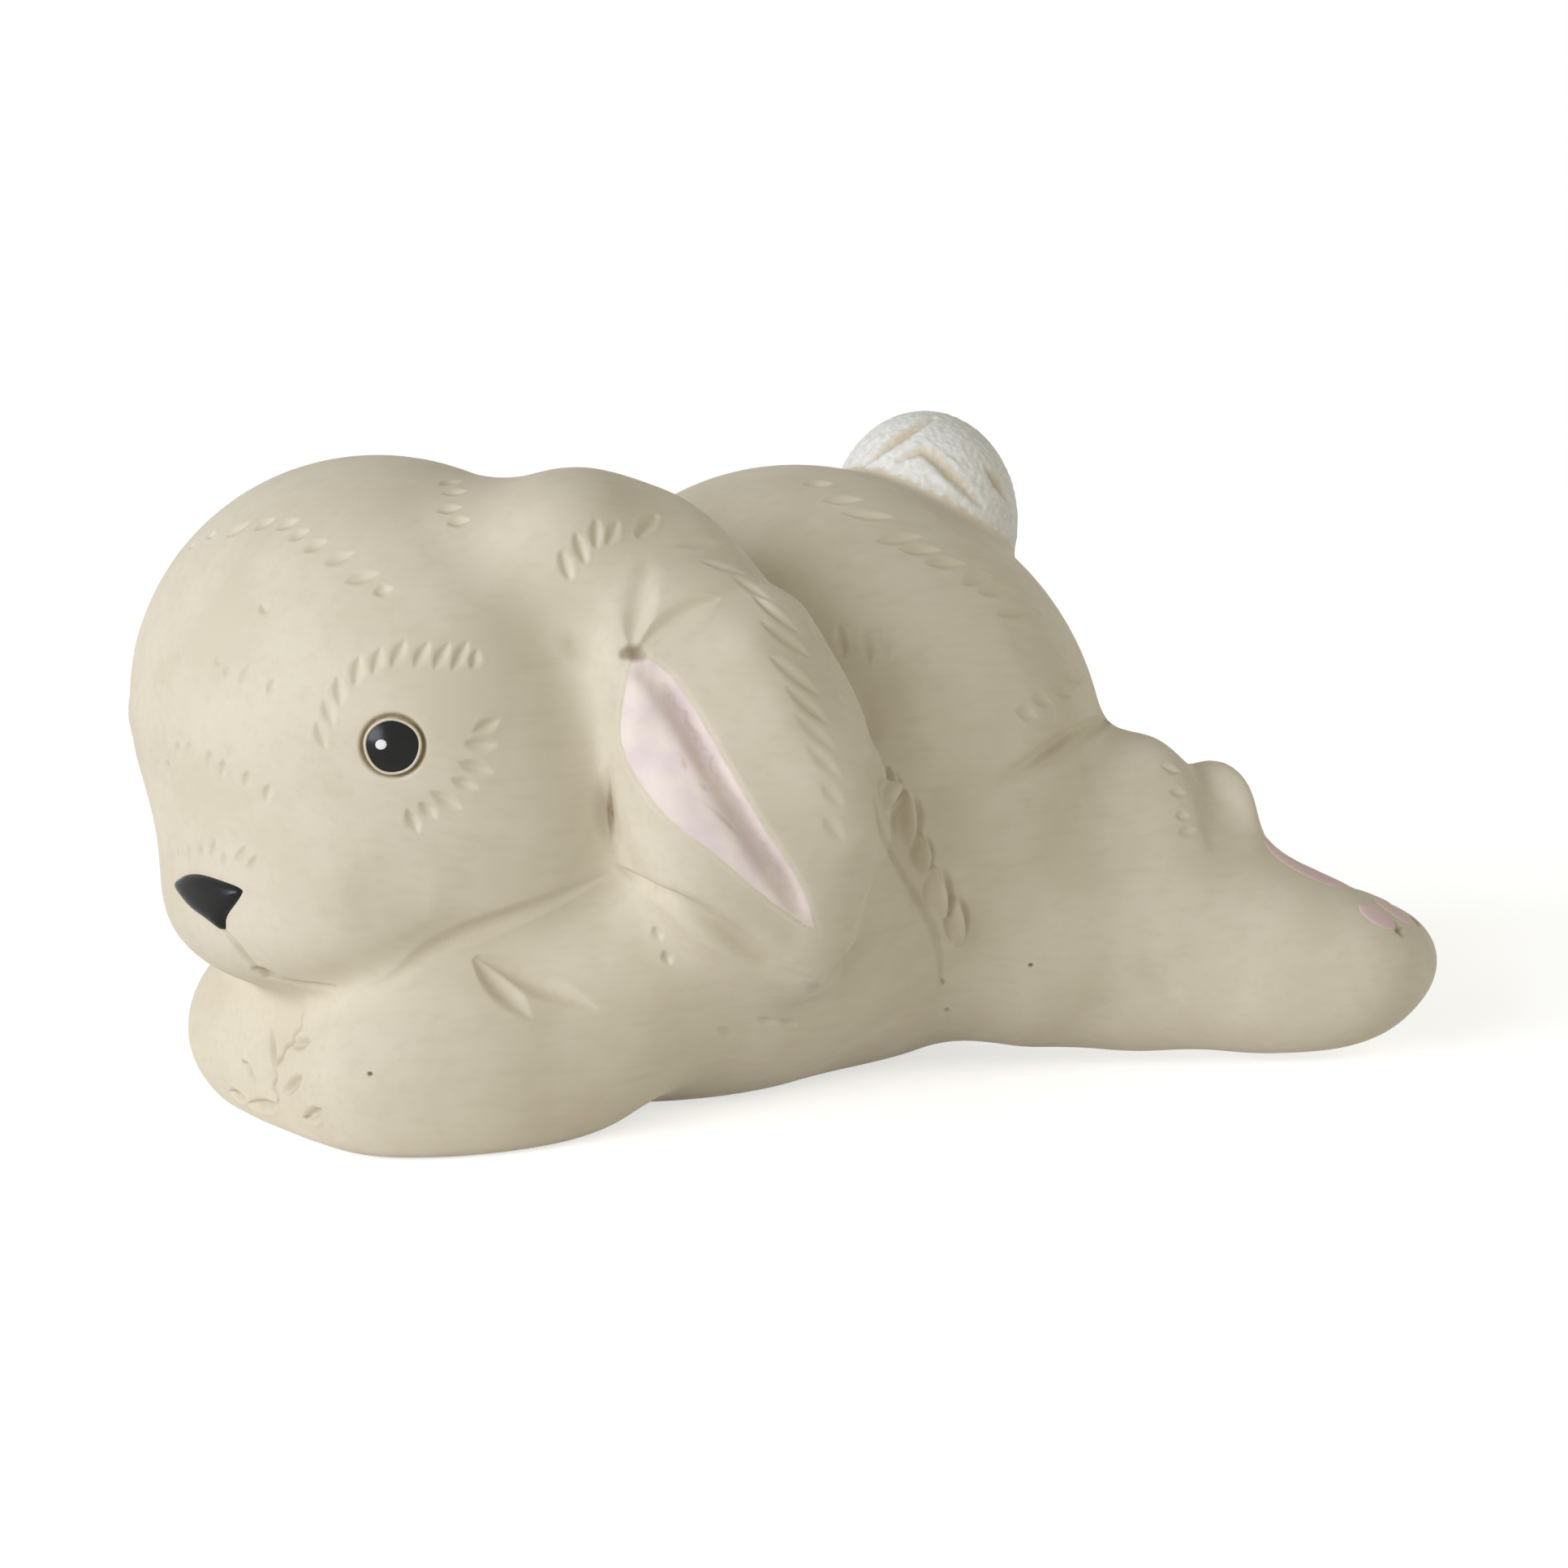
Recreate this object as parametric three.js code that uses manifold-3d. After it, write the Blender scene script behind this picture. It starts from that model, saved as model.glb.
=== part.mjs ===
// A rabbit ornament that lies on its folded forelegs, its head turned a little to its left and
// its hind legs stretched out behind, soles up. It is an assembly of solid castings. Each limb,
// ear and the tail has a round peg that is glued into a socket of the casting that carries it,
// and the eyes, nose, ear linings and foot pads are glued into recesses of their own shape.
// Millimetres, +Z up. The rabbit looks along -X, its left side is -Y, and it lies on Z = 0.
import * as THREE from "three";
import { mergeVertices } from "three/addons/utils/BufferGeometryUtils.js";
import Module from "manifold-3d";

const wasm = await Module();
wasm.setup();

// Driving dimensions. A form has a place and three half sizes. A form that leans also has the
// way its length runs and the way its thickness faces.

const GLUE_GAP = 0.3; // clearance between two pieces that are glued together
const HEAD_TURN = 15.5; // degrees that the face looks to its left

const CHEST = { at: [-15.1, 0, 34.6], half: [55.1, 42.4, 38.2] };
const BACK = { at: [7.5, 0, 56.7], half: [37.4, 32.1, 34.8] };
const RUMP = { at: [13.4, 0, 44], half: [46.6, 42, 45.6] };
const TORSO_BLEND = 5;

const SKULL = { at: [-62.8, 0, 59.5], half: [32.8, 37, 34.6] };
const CHEEK = { at: [-59, -16.5, 39.5], half: [12.5, 17.5, 16] };
const MUZZLE = { at: [-80.5, 0, 32.5], half: [12.6, 18.5, 10] };
const HEAD_BLEND = 15;

const UPPER_ARM = { at: [-39, -20, 22], half: [16, 15, 17] };
const FOREARM = {
  at: [-57.5, -21.9, 13.3],
  half: [26.2, 11.8, 16.6],
  along: [-1, 0.12, -0.08],
  face: [0, 0, 1],
};
const PAW = { at: [-73.6, -8.9, 9.6], half: [8.4, 11.8, 12] };
const FORELEG_BLEND = 8;

const THIGH = { at: [38.5, -22.4, 24.4], half: [24.8, 20.6, 22] };
const SHANK = { at: [50.5, -31.6, 27], half: [12.5, 14.6, 23.9] };
const HEEL = { at: [64.2, -35.8, 37.8], half: [3.5, 8, 8] };
const FOOT = {
  at: [62.9, -42.3, 17.7],
  half: [26.3, 12.2, 15.3],
  along: [0.82, -0.52, -0.25],
  face: [0, 0, 1],
};
const TOES = { at: [83, -49.5, 14], half: [13.6, 9.3, 9.5] };
const LEG_BLEND = 8;

const TAIL = { at: [34.2, 0, 82.6], half: [14.6, 15, 17.4] };

const EAR_ROOT = {
  at: [-53.7, -21, 82.9],
  half: [14, 11, 7.5],
  along: [0.45, -0.85, 0.25],
  face: [-0.1, -0.2, 1],
};
const EAR_BEND = {
  at: [-39.5, -33, 76],
  half: [17, 15, 7],
  along: [0.35, -0.55, -0.8],
  face: [-0.15, -0.8, 0.6],
};
const EAR_FLAP = {
  at: [-32, -42, 58],
  half: [27, 19, 6.5],
  along: [0.2, -0.12, -1],
  face: [-0.12, -1, 0.1],
};
const EAR_END = {
  at: [-28, -43.5, 40],
  half: [17, 14, 5.8],
  along: [0.45, 0, -0.9],
  face: [-0.1, -1, 0],
};
const EAR_TIP = {
  at: [-21.5, -42.5, 27.5],
  half: [7, 4.5, 4],
  along: EAR_END.along,
  face: EAR_END.face,
};
const EAR_BLEND = 8;
const EAR_HOLLOW = {
  at: [-41, -51.6, 50],
  half: [28.6, 8.4, 6.5],
  along: [0.54, -0.14, -0.83],
  face: [-0.36, -1, 0.08],
};
const LINING_WALL = 1.2;

const LEFT_EYE_ASIDE = 48; // degrees from the middle of the face
const RIGHT_EYE_ASIDE = 59;
const EYE_DROP = 3.8; // degrees below the middle of the skull
const EYE_RADIUS = 3.4;
const EYE_DOME = 1.1;
const EYE_DEPTH = 3;
const EYE_SUNK = 0.5; // how far its rim lies below the face
const EYE_RING_WALL = 0.45;

const NOSE_WIDTH = 12.6;
const NOSE_HEIGHT = 7.6;
const NOSE_TOP = 38.6; // height of its upper edge
const NOSE_ROUNDING = 1.3;
const NOSE_PROUD = 0.9;
const NOSE_DEPTH = 1.4;

const PAD_PROUD = 0.5;
const SOLE_PAD = { ahead: 10, aside: 1.5, half: [7, 5.4, 1.5] };
const TOE_PAD_HALF = [3.1, 2, 1.1];
const TOE_PADS = [
  { ahead: 19.5, aside: -5, half: TOE_PAD_HALF },
  { ahead: 23, aside: -0.4, half: TOE_PAD_HALF },
  { ahead: 20.5, aside: 4.2, half: TOE_PAD_HALF },
];

const HEAD_PEG = { radius: 8, ahead: 16 };
const FORELEG_PEG = { radius: 4, back: 6, ahead: 20 };
const HIND_LEG_PEG = { radius: 5, back: 2, ahead: 24 };
const EAR_PEG = { radius: 3, back: 6, ahead: 8 };
const TAIL_PEG = { radius: 4, back: 5, ahead: 12 };

const FAR = 400; // further than any of the ornament reaches
const HEAD_SPINE = 3; // half the line along which the rays of a round casting start
const TAIL_SPINE = 2;

// Forms: each takes a place and gives about how far outside the form it is, below 0 inside

const vec = (list) => new THREE.Vector3(...list);

function axesOf({ along = [1, 0, 0], face = [0, 0, 1] }) {
  const length = vec(along).normalize();
  const thick = vec(face);
  thick.addScaledVector(length, -thick.dot(length)).normalize();
  return [length, new THREE.Vector3().crossVectors(thick, length), thick];
}

function ellipsoid(form) {
  const axes = axesOf(form);
  const middle = vec(form.at);
  return (p) => {
    const off = p.clone().sub(middle);
    const share = axes.map((axis, i) => off.dot(axis) / form.half[i]);
    const reach = Math.hypot(...share);
    const slope = Math.hypot(...share.map((v, i) => v / form.half[i]));
    return slope > 0 ? (reach * (reach - 1)) / slope : -Math.min(...form.half);
  };
}

function melt(a, b, blend) {
  const share = THREE.MathUtils.clamp(0.5 + (0.5 * (b - a)) / blend, 0, 1);
  return THREE.MathUtils.lerp(b, a, share) - blend * share * (1 - share);
}

const blended = (forms, blend) => (p) => forms.map((form) => form(p)).reduce((a, b) => melt(a, b, blend));
const grown = (form, by) => (p) => form(p) - by;
const otherSide = (form) => ({ ...form, at: [form.at[0], -form.at[1], form.at[2]] });

const headTurn = new THREE.Matrix4()
  .makeTranslation(...SKULL.at)
  .multiply(new THREE.Matrix4().makeRotationZ(THREE.MathUtils.degToRad(HEAD_TURN)))
  .multiply(new THREE.Matrix4().makeTranslation(...SKULL.at.map((v) => -v)));
const headTurnBack = headTurn.clone().invert();

const torsoForm = blended([CHEST, BACK, RUMP].map(ellipsoid), TORSO_BLEND);
const faceForm = blended([SKULL, CHEEK, otherSide(CHEEK), MUZZLE].map(ellipsoid), HEAD_BLEND);
const headForm = (p) => faceForm(p.clone().applyMatrix4(headTurnBack));
const forelegForm = blended([UPPER_ARM, FOREARM, PAW].map(ellipsoid), FORELEG_BLEND);
const hindLegForm = blended([THIGH, SHANK, HEEL, FOOT, TOES].map(ellipsoid), LEG_BLEND);
const earForms = [EAR_ROOT, EAR_BEND, EAR_FLAP, EAR_END, EAR_TIP];
const earForm = blended(earForms.map(ellipsoid), EAR_BLEND);
const tailForm = ellipsoid(TAIL);

function reach(form, from, way) {
  const at = from.clone();
  let low = 0;
  let high = 0;
  let value = form(at);
  while (value < 0 && high < FAR) {
    low = high;
    high += Math.max(0.2, -0.7 * value);
    value = form(at.copy(from).addScaledVector(way, high));
  }
  for (let i = 0; i < 30; i++) {
    const middle = (low + high) / 2;
    if (form(at.copy(from).addScaledVector(way, middle)) < 0) low = middle;
    else high = middle;
  }
  return at.copy(from).addScaledVector(way, high);
}

function outward(form, p) {
  const step = 0.2;
  const slope = [0, 1, 2].map((i) => {
    const ahead = p.clone().setComponent(i, p.getComponent(i) + step);
    const behind = p.clone().setComponent(i, p.getComponent(i) - step);
    return form(ahead) - form(behind);
  });
  return vec(slope).normalize();
}

// Solids

function solidOf(geometry) {
  const bare = geometry.clone();
  for (const name of Object.keys(bare.attributes)) {
    if (name !== "position") bare.deleteAttribute(name);
  }
  const merged = mergeVertices(bare, 1e-4);
  return new wasm.Manifold(
    new wasm.Mesh({
      numProp: 3,
      vertProperties: new Float32Array(merged.attributes.position.array),
      triVerts: new Uint32Array(merged.index.array),
    }),
  );
}

function geometryOf(solid) {
  const { vertProperties, triVerts } = solid.getMesh();
  return new THREE.BufferGeometry()
    .setAttribute("position", new THREE.BufferAttribute(new Float32Array(vertProperties), 3))
    .setIndex(new THREE.BufferAttribute(new Uint32Array(triVerts), 1));
}

// A skin is made of rays that leave a spine, ring by ring, and stop where they meet the form.
// The spine is a list of forms, whose thickness faces set where each ring starts.
function skin(form, spine, { flat = 1, ...counts }) {
  const [rows, caps, sides] = [counts.rows, counts.caps, counts.sides].map(Math.round);
  const path = new THREE.CatmullRomCurve3(spine.map(({ at }) => vec(at)));
  const faces = spine.map((station) => vec(station.face ?? [0, 0, 1]));
  const total = rows + 2 * caps;
  const points = [];
  for (let row = 0; row <= total; row++) {
    const t = THREE.MathUtils.clamp((row - caps) / rows, 0, 1);
    const lean = row < caps ? row / caps - 1 : Math.max(0, (row - caps - rows) / caps);
    const from = path.getPoint(t);
    const ahead = path.getTangent(t);
    const station = Math.min(Math.floor(t * (faces.length - 1)), faces.length - 2);
    const face = faces[station].clone().lerp(faces[station + 1], t * (faces.length - 1) - station);
    const side = face.cross(ahead).normalize();
    const up = new THREE.Vector3().crossVectors(ahead, side);
    const tilt = (lean * Math.PI) / 2;
    const count = row === 0 || row === total ? 1 : sides;
    for (let i = 0; i < count; i++) {
      const turn = (2 * Math.PI * i) / sides;
      const way = new THREE.Vector3()
        .addScaledVector(side, flat * Math.cos(turn) * Math.cos(tilt))
        .addScaledVector(up, Math.sin(turn) * Math.cos(tilt))
        .addScaledVector(ahead, Math.sin(tilt));
      points.push(reach(form, from, way.normalize()));
    }
  }
  const corner = (row, i) => {
    if (row === 0) return 0;
    return row === total ? points.length - 1 : 1 + (row - 1) * sides + (i % sides);
  };
  const index = [];
  for (let row = 0; row < total; row++) {
    for (let i = 0; i < sides; i++) {
      if (row > 0) index.push(corner(row, i), corner(row, i + 1), corner(row + 1, i));
      if (row < total - 1) index.push(corner(row, i + 1), corner(row + 1, i + 1), corner(row + 1, i));
    }
  }
  return solidOf(new THREE.BufferGeometry().setFromPoints(points).setIndex(index));
}

function casting(form, spine, mesh) {
  return { solid: skin(form, spine, mesh), cutter: skin(grown(form, GLUE_GAP), spine, mesh) };
}

function ball(form, by, across, down) {
  const half = form.half.map((v) => v + by);
  const turn = new THREE.Matrix4().makeBasis(...axesOf(form)).scale(vec(half)).setPosition(...form.at);
  return solidOf(new THREE.SphereGeometry(1, across, down).applyMatrix4(turn));
}

function peg({ radius, back, ahead }, at, toward, by = 0) {
  const way = vec(toward).sub(vec(at)).normalize();
  const length = back + ahead + by;
  const middle = vec(at).addScaledVector(way, (ahead - back + by) / 2);
  const turn = new THREE.Quaternion().setFromUnitVectors(new THREE.Vector3(0, 1, 0), way);
  const geometry = new THREE.CylinderGeometry(radius + by, radius + by, length, 16);
  return solidOf(geometry.applyQuaternion(turn).translate(middle.x, middle.y, middle.z));
}

function lathe(profile, at, way) {
  const turn = new THREE.Quaternion().setFromUnitVectors(new THREE.Vector3(0, 1, 0), way);
  const geometry = new THREE.LatheGeometry(profile.map(([r, h]) => new THREE.Vector2(r, h)), 20);
  return solidOf(geometry.applyQuaternion(turn).translate(at.x, at.y, at.z));
}

function largest(solid) {
  return solid.decompose().reduce((a, b) => (b.volume() > a.volume() ? b : a));
}

const flip = (solid) => solid.mirror([0, 1, 0]);
const less = (solid, ...cutters) => largest(cutters.reduce((rest, cutter) => rest.subtract(cutter), solid));
const both = (left) => ({ left, right: { solid: flip(left.solid), cutter: flip(left.cutter) } });

function block(min, max) {
  const size = max.map((v, i) => v - min[i]);
  const middle = max.map((v, i) => (v + min[i]) / 2);
  return solidOf(new THREE.BoxGeometry(...size).translate(...middle));
}

const underground = block([-FAR, -FAR, -FAR], [FAR, FAR, 0]);
const rightHalf = block([-FAR, -GLUE_GAP / 2, -FAR], [FAR, FAR, FAR]);

// Main castings

const HEAD_MESH = { rows: 2, caps: 9, sides: 30 };
const shortSpine = ([x, y, z], half) => [{ at: [x + half, y, z] }, { at: [x - half, y, z] }];
const headSpine = shortSpine(SKULL.at, HEAD_SPINE);
const head = casting(headForm, headSpine, HEAD_MESH);
const torso = casting(torsoForm, [CHEST, RUMP], { rows: 7, caps: 7, sides: 32 });
const forelegs = both(casting(forelegForm, [UPPER_ARM, FOREARM, PAW], { rows: 9, caps: 3, sides: 18 }));
const legSpine = [THIGH, { at: FOOT.at }, TOES];
const hindLegs = both(casting(hindLegForm, legSpine, { rows: 12, caps: 4, sides: 20 }));
const ears = both(casting(earForm, earForms, { rows: 14, caps: 2, sides: 18, flat: 2.5 }));
const tail = casting(tailForm, shortSpine(TAIL.at, TAIL_SPINE), { rows: 1, caps: 5, sides: 18 });

// Eyes and nose, set into the head

const eyeAside = { left: -LEFT_EYE_ASIDE, right: RIGHT_EYE_ASIDE };
function eyePlace(side) {
  const aside = THREE.MathUtils.degToRad(eyeAside[side]);
  const drop = THREE.MathUtils.degToRad(EYE_DROP);
  const way = vec([-Math.cos(aside) * Math.cos(drop), Math.sin(aside) * Math.cos(drop), -Math.sin(drop)]);
  const at = reach(headForm, vec(SKULL.at), way.transformDirection(headTurn));
  const out = outward(headForm, at);
  return { at: at.addScaledVector(out, -EYE_SUNK), way: out };
}

const ringInside = EYE_RADIUS + GLUE_GAP;
const ringOutside = ringInside + EYE_RING_WALL;
const domeSteps = [0, 1, 2, 3, 4].map((i) => (i * Math.PI) / 8);
const eyeProfile = [
  [0, -EYE_DEPTH],
  [EYE_RADIUS, -EYE_DEPTH],
  ...domeSteps.slice().reverse().map((a) => [EYE_RADIUS * Math.sin(a), EYE_DOME * Math.cos(a)]),
];
const ringProfile = [
  [ringInside, -EYE_DEPTH],
  [ringOutside, -EYE_DEPTH],
  [ringOutside, EYE_RING_WALL / 2],
  [(ringInside + ringOutside) / 2, EYE_RING_WALL],
  [ringInside, EYE_RING_WALL / 2],
  [ringInside, -EYE_DEPTH],
];
const socketProfile = [
  [0, -EYE_DEPTH - GLUE_GAP],
  [ringOutside + GLUE_GAP, -EYE_DEPTH - GLUE_GAP],
  [ringOutside + GLUE_GAP, EYE_DEPTH],
  [0, EYE_DEPTH],
];

function nosePrism(by) {
  const corner = NOSE_WIDTH / 2 - NOSE_ROUNDING;
  const centres = [
    [corner, NOSE_TOP - NOSE_ROUNDING],
    [-corner, NOSE_TOP - NOSE_ROUNDING],
    [0, NOSE_TOP - NOSE_HEIGHT + NOSE_ROUNDING],
  ];
  const slope = Math.atan2(centres[0][1] - centres[2][1], corner);
  const starts = [slope - Math.PI / 2, Math.PI / 2, 3 * Math.PI / 2 - slope];
  const sweeps = [Math.PI - slope, Math.PI - slope, 2 * slope];
  const outline = centres.flatMap(([y, z], k) =>
    [0, 0.25, 0.5, 0.75, 1].map((share) => {
      const angle = starts[k] + share * sweeps[k];
      const radius = NOSE_ROUNDING + by;
      return new THREE.Vector2(y + radius * Math.cos(angle), z + radius * Math.sin(angle));
    }),
  );
  const depth = SKULL.half[0] + MUZZLE.half[0];
  const geometry = new THREE.ExtrudeGeometry(new THREE.Shape(outline), { depth, bevelEnabled: false });
  const stand = new THREE.Matrix4().makeBasis(vec([0, 1, 0]), vec([0, 0, 1]), vec([1, 0, 0]));
  stand.setPosition(SKULL.at[0] - depth - MUZZLE.half[0], 0, 0);
  return solidOf(geometry.applyMatrix4(headTurn.clone().multiply(stand)));
}

const headShell = (by) => skin(grown(headForm, by), headSpine, HEAD_MESH);
const nose = largest(nosePrism(0).intersect(headShell(NOSE_PROUD)).subtract(headShell(-NOSE_DEPTH)));
const noseRecess = nosePrism(GLUE_GAP).subtract(headShell(-NOSE_DEPTH - GLUE_GAP));

// Foot pads, set into the soles of the hind legs

function pad({ ahead, aside, half }, by) {
  const [length, across] = axesOf({ along: [FOOT.along[0], FOOT.along[1], 0] });
  const middle = vec(FOOT.at).addScaledVector(length, ahead).addScaledVector(across, aside);
  const top = reach(hindLegForm, middle.setZ(Math.min(middle.z, TOES.at[2])), new THREE.Vector3(0, 0, 1));
  const face = outward(hindLegForm, top);
  const at = top.addScaledVector(face, PAD_PROUD - half[2]).toArray();
  return ball({ at, half, along: FOOT.along, face: face.toArray() }, by, 14, 6);
}

// Assembly

const clay = new THREE.MeshStandardMaterial({ color: 0xd6cbb2, roughness: 0.75, metalness: 0 });
const white = new THREE.MeshStandardMaterial({ color: 0xe8e4dc, roughness: 0.85, metalness: 0 });
const black = new THREE.MeshStandardMaterial({ color: 0x1c1d1a, roughness: 0.15, metalness: 0 });
const pink = new THREE.MeshStandardMaterial({ color: 0xdccbc7, roughness: 0.75, metalness: 0 });

const pieces = [];
const add = (name, solid, material) => pieces.push({ name, solid, material });

const headPegPlace = [SKULL.at, [SKULL.at[0] + FAR, SKULL.at[1], SKULL.at[2]]];
const headPeg = { ...HEAD_PEG, back: 0, ahead: SKULL.half[0] + HEAD_PEG.ahead };
const headSockets = [noseRecess];
const torsoSockets = [peg(headPeg, ...headPegPlace, GLUE_GAP)];

for (const side of ["left", "right"]) {
  const turn = side === "left" ? (solid) => solid : flip;
  const half = side === "left" ? rightHalf : flip(rightHalf);

  const { at, way } = eyePlace(side);
  add(side + "_eye", lathe(eyeProfile, at, way), black);
  add(side + "_eye_ring", lathe(ringProfile, at, way), clay);
  headSockets.push(lathe(socketProfile, at, way));

  const forelegPeg = (by) => turn(peg(FORELEG_PEG, FOREARM.at, CHEST.at, by));
  const foreleg = less(forelegs[side].solid, underground, half, head.cutter, torso.cutter);
  add(side + "_foreleg", foreleg.add(forelegPeg(0)), clay);
  torsoSockets.push(forelegPeg(GLUE_GAP));

  const hindLegPeg = (by) => turn(peg(HIND_LEG_PEG, SHANK.at, RUMP.at, by));
  const pads = [SOLE_PAD, ...TOE_PADS];
  const padRecesses = pads.map((p) => turn(pad(p, GLUE_GAP)));
  const hindLeg = less(hindLegs[side].solid, underground, torso.cutter, ...padRecesses);
  add(side + "_hind_leg", hindLeg.add(hindLegPeg(0)), clay);
  torsoSockets.push(hindLegPeg(GLUE_GAP));
  pads.forEach((p, i) => add(side + (i === 0 ? "_sole_pad" : "_toe_pad_" + i), turn(pad(p, 0)), pink));

  const around = [head.cutter, torso.cutter, forelegs[side].cutter, hindLegs[side].cutter];
  const hollow = (by) => turn(ball(EAR_HOLLOW, by, 16, 10));
  const earPeg = (by) => turn(peg(EAR_PEG, EAR_ROOT.at, SKULL.at, by));
  const ear = less(ears[side].solid, ...around, hollow(LINING_WALL + GLUE_GAP));
  add(side + "_ear", ear.add(earPeg(0)), clay);
  headSockets.push(earPeg(GLUE_GAP));
  const lining = less(hollow(LINING_WALL).intersect(ears[side].solid), hollow(0), ...around);
  add(side + "_ear_lining", lining, pink);
}

const tailPeg = (by) => peg(TAIL_PEG, TAIL.at, RUMP.at, by);
add("tail", less(tail.solid, torso.cutter).add(tailPeg(0)), white);
torsoSockets.push(tailPeg(GLUE_GAP));

add("nose", nose, black);
add("head", less(head.solid, ...headSockets).add(peg(headPeg, ...headPegPlace)), clay);
add("torso", less(torso.solid, underground, head.cutter, ...torsoSockets), clay);

const group = new THREE.Group();
for (const { name, solid, material } of pieces) {
  const geometry = geometryOf(solid);
  geometry.computeVertexNormals();
  const mesh = new THREE.Mesh(geometry, material);
  mesh.name = name;
  group.add(mesh);
}
const box = new THREE.Box3().setFromObject(group);
const middle = box.getCenter(new THREE.Vector3());
for (const mesh of group.children) mesh.geometry.translate(-middle.x, -middle.y, -box.min.z);

export default group;
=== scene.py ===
"""Dresses the castings of a lop-eared rabbit ornament that lies on its folded forelegs.

The castings share one skin of clay, whose forms melt into each other at the joints. The skin is
marked with the modelling tool, parted along the joints into one piece for each casting, and
painted. Sizes are millimetres until a mesh is made in metres. The rabbit looks along -X, its left
side is -Y, and it lies on Z = 0.
"""

from __future__ import annotations

import logging
import math
from collections.abc import Iterable, Sequence
from dataclasses import dataclass, field, replace
from enum import Enum
from functools import cached_property

import bmesh
import bpy
import numpy as np
from mathutils import Matrix, Vector, noise

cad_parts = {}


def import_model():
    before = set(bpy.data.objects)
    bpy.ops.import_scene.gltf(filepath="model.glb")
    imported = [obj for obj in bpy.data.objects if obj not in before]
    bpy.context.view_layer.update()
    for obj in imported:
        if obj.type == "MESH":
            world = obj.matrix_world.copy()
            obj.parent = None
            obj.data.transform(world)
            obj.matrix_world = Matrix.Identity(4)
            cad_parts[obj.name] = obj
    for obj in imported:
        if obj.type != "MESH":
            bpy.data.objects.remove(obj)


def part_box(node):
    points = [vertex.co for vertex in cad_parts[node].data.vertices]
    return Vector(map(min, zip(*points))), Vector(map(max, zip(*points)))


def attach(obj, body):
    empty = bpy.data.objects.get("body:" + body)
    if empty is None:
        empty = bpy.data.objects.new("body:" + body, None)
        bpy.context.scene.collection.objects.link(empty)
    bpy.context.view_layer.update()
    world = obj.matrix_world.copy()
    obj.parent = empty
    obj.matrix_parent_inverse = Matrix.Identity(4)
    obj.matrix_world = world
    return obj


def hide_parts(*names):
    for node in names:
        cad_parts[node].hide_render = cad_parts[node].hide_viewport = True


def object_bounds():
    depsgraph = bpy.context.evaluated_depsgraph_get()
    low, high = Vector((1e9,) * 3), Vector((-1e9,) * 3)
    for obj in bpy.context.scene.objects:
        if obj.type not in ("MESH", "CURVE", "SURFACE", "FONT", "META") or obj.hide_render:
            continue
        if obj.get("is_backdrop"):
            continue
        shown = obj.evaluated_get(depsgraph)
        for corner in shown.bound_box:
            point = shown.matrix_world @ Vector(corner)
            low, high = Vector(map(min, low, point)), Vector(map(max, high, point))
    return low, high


Array = np.ndarray
Point = tuple[float, float, float]
Pixel = tuple[float, float]
Span = tuple[float, float]
Colour = tuple[int, int, int]
Plug = bpy.types.NodeSocket

MM = 0.001
BODY = "root"
BOX_MIDDLE = np.array([0.355, 0.0, 0.0])  # of the castings' box, which the frame is centred on
WASH_AND_SHADE = "wash"
COAT_AND_HIGHLIGHT = "coat"
MIX_COLOURS = slice(6, 8)  # the colour sockets of a mixing node
MIX_RESULT = 2
WHITE_LIGHT = (1.0, 1.0, 1.0, 1.0)
MIRROR = np.array([1.0, -1.0, 1.0])
PROBES = np.array([(1, 1, 1), (1, -1, -1), (-1, 1, -1), (-1, -1, 1)], float)  # round a point

log = logging.getLogger("rabbit")


class Side(Enum):
    """Which side of the rabbit a piece is on, as the sign of Y."""

    LEFT = -1.0
    RIGHT = 1.0


class Repeat(Enum):
    """How a tool mark that the photograph shows is repeated on the side that it doesn't."""

    NONE = "none"
    BODY = "body"
    HEAD = "head"


class Slot(Enum):
    """The material slots of the pieces."""

    CLAY = "painted_clay"
    WHITE = "dabbed_white"
    BLACK = "gloss_black"
    PINK = "pale_pink"


def to_frame(points: Array) -> Array:
    """Gives places on the sculpture as places in the frame, in metres."""
    return (points - BOX_MIDDLE) * MM


def from_frame(points: Array) -> Array:
    """Gives places in the frame, in metres, as places on the sculpture."""
    return points / MM + BOX_MIDDLE


def linear(colour: Colour) -> tuple[float, float, float, float]:
    """Gives a colour of 8-bit screen values as linear light."""
    shares = [v / 255.0 for v in colour]
    return (*(s / 12.92 if s < 0.04045 else ((s + 0.055) / 1.055) ** 2.4 for s in shares), 1.0)


def dense(path: Sequence[Pixel], gap: float = 4.0) -> Array:
    """Gives points along a path of pixels.

    Args:
        path: The path's corners, which are rounded where it has more than two.
        gap: How far apart the points are, in pixels.

    Returns:
        The points.
    """
    points = np.array(path, float)
    for _ in range(2 if len(points) > 2 else 0):
        early = 0.75 * points[:-1] + 0.25 * points[1:]
        late = 0.25 * points[:-1] + 0.75 * points[1:]
        inner = np.stack([early, late], axis=1).reshape(-1, 2)
        points = np.concatenate([points[:1], inner[1:-1], points[-1:]])
    gone = np.concatenate([[0.0], np.cumsum(np.linalg.norm(np.diff(points, axis=0), axis=1))])
    at = np.linspace(0.0, gone[-1], max(3, int(gone[-1] / gap) + 2))
    return np.stack([np.interp(at, gone, points[:, i]) for i in (0, 1)], axis=1)


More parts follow.
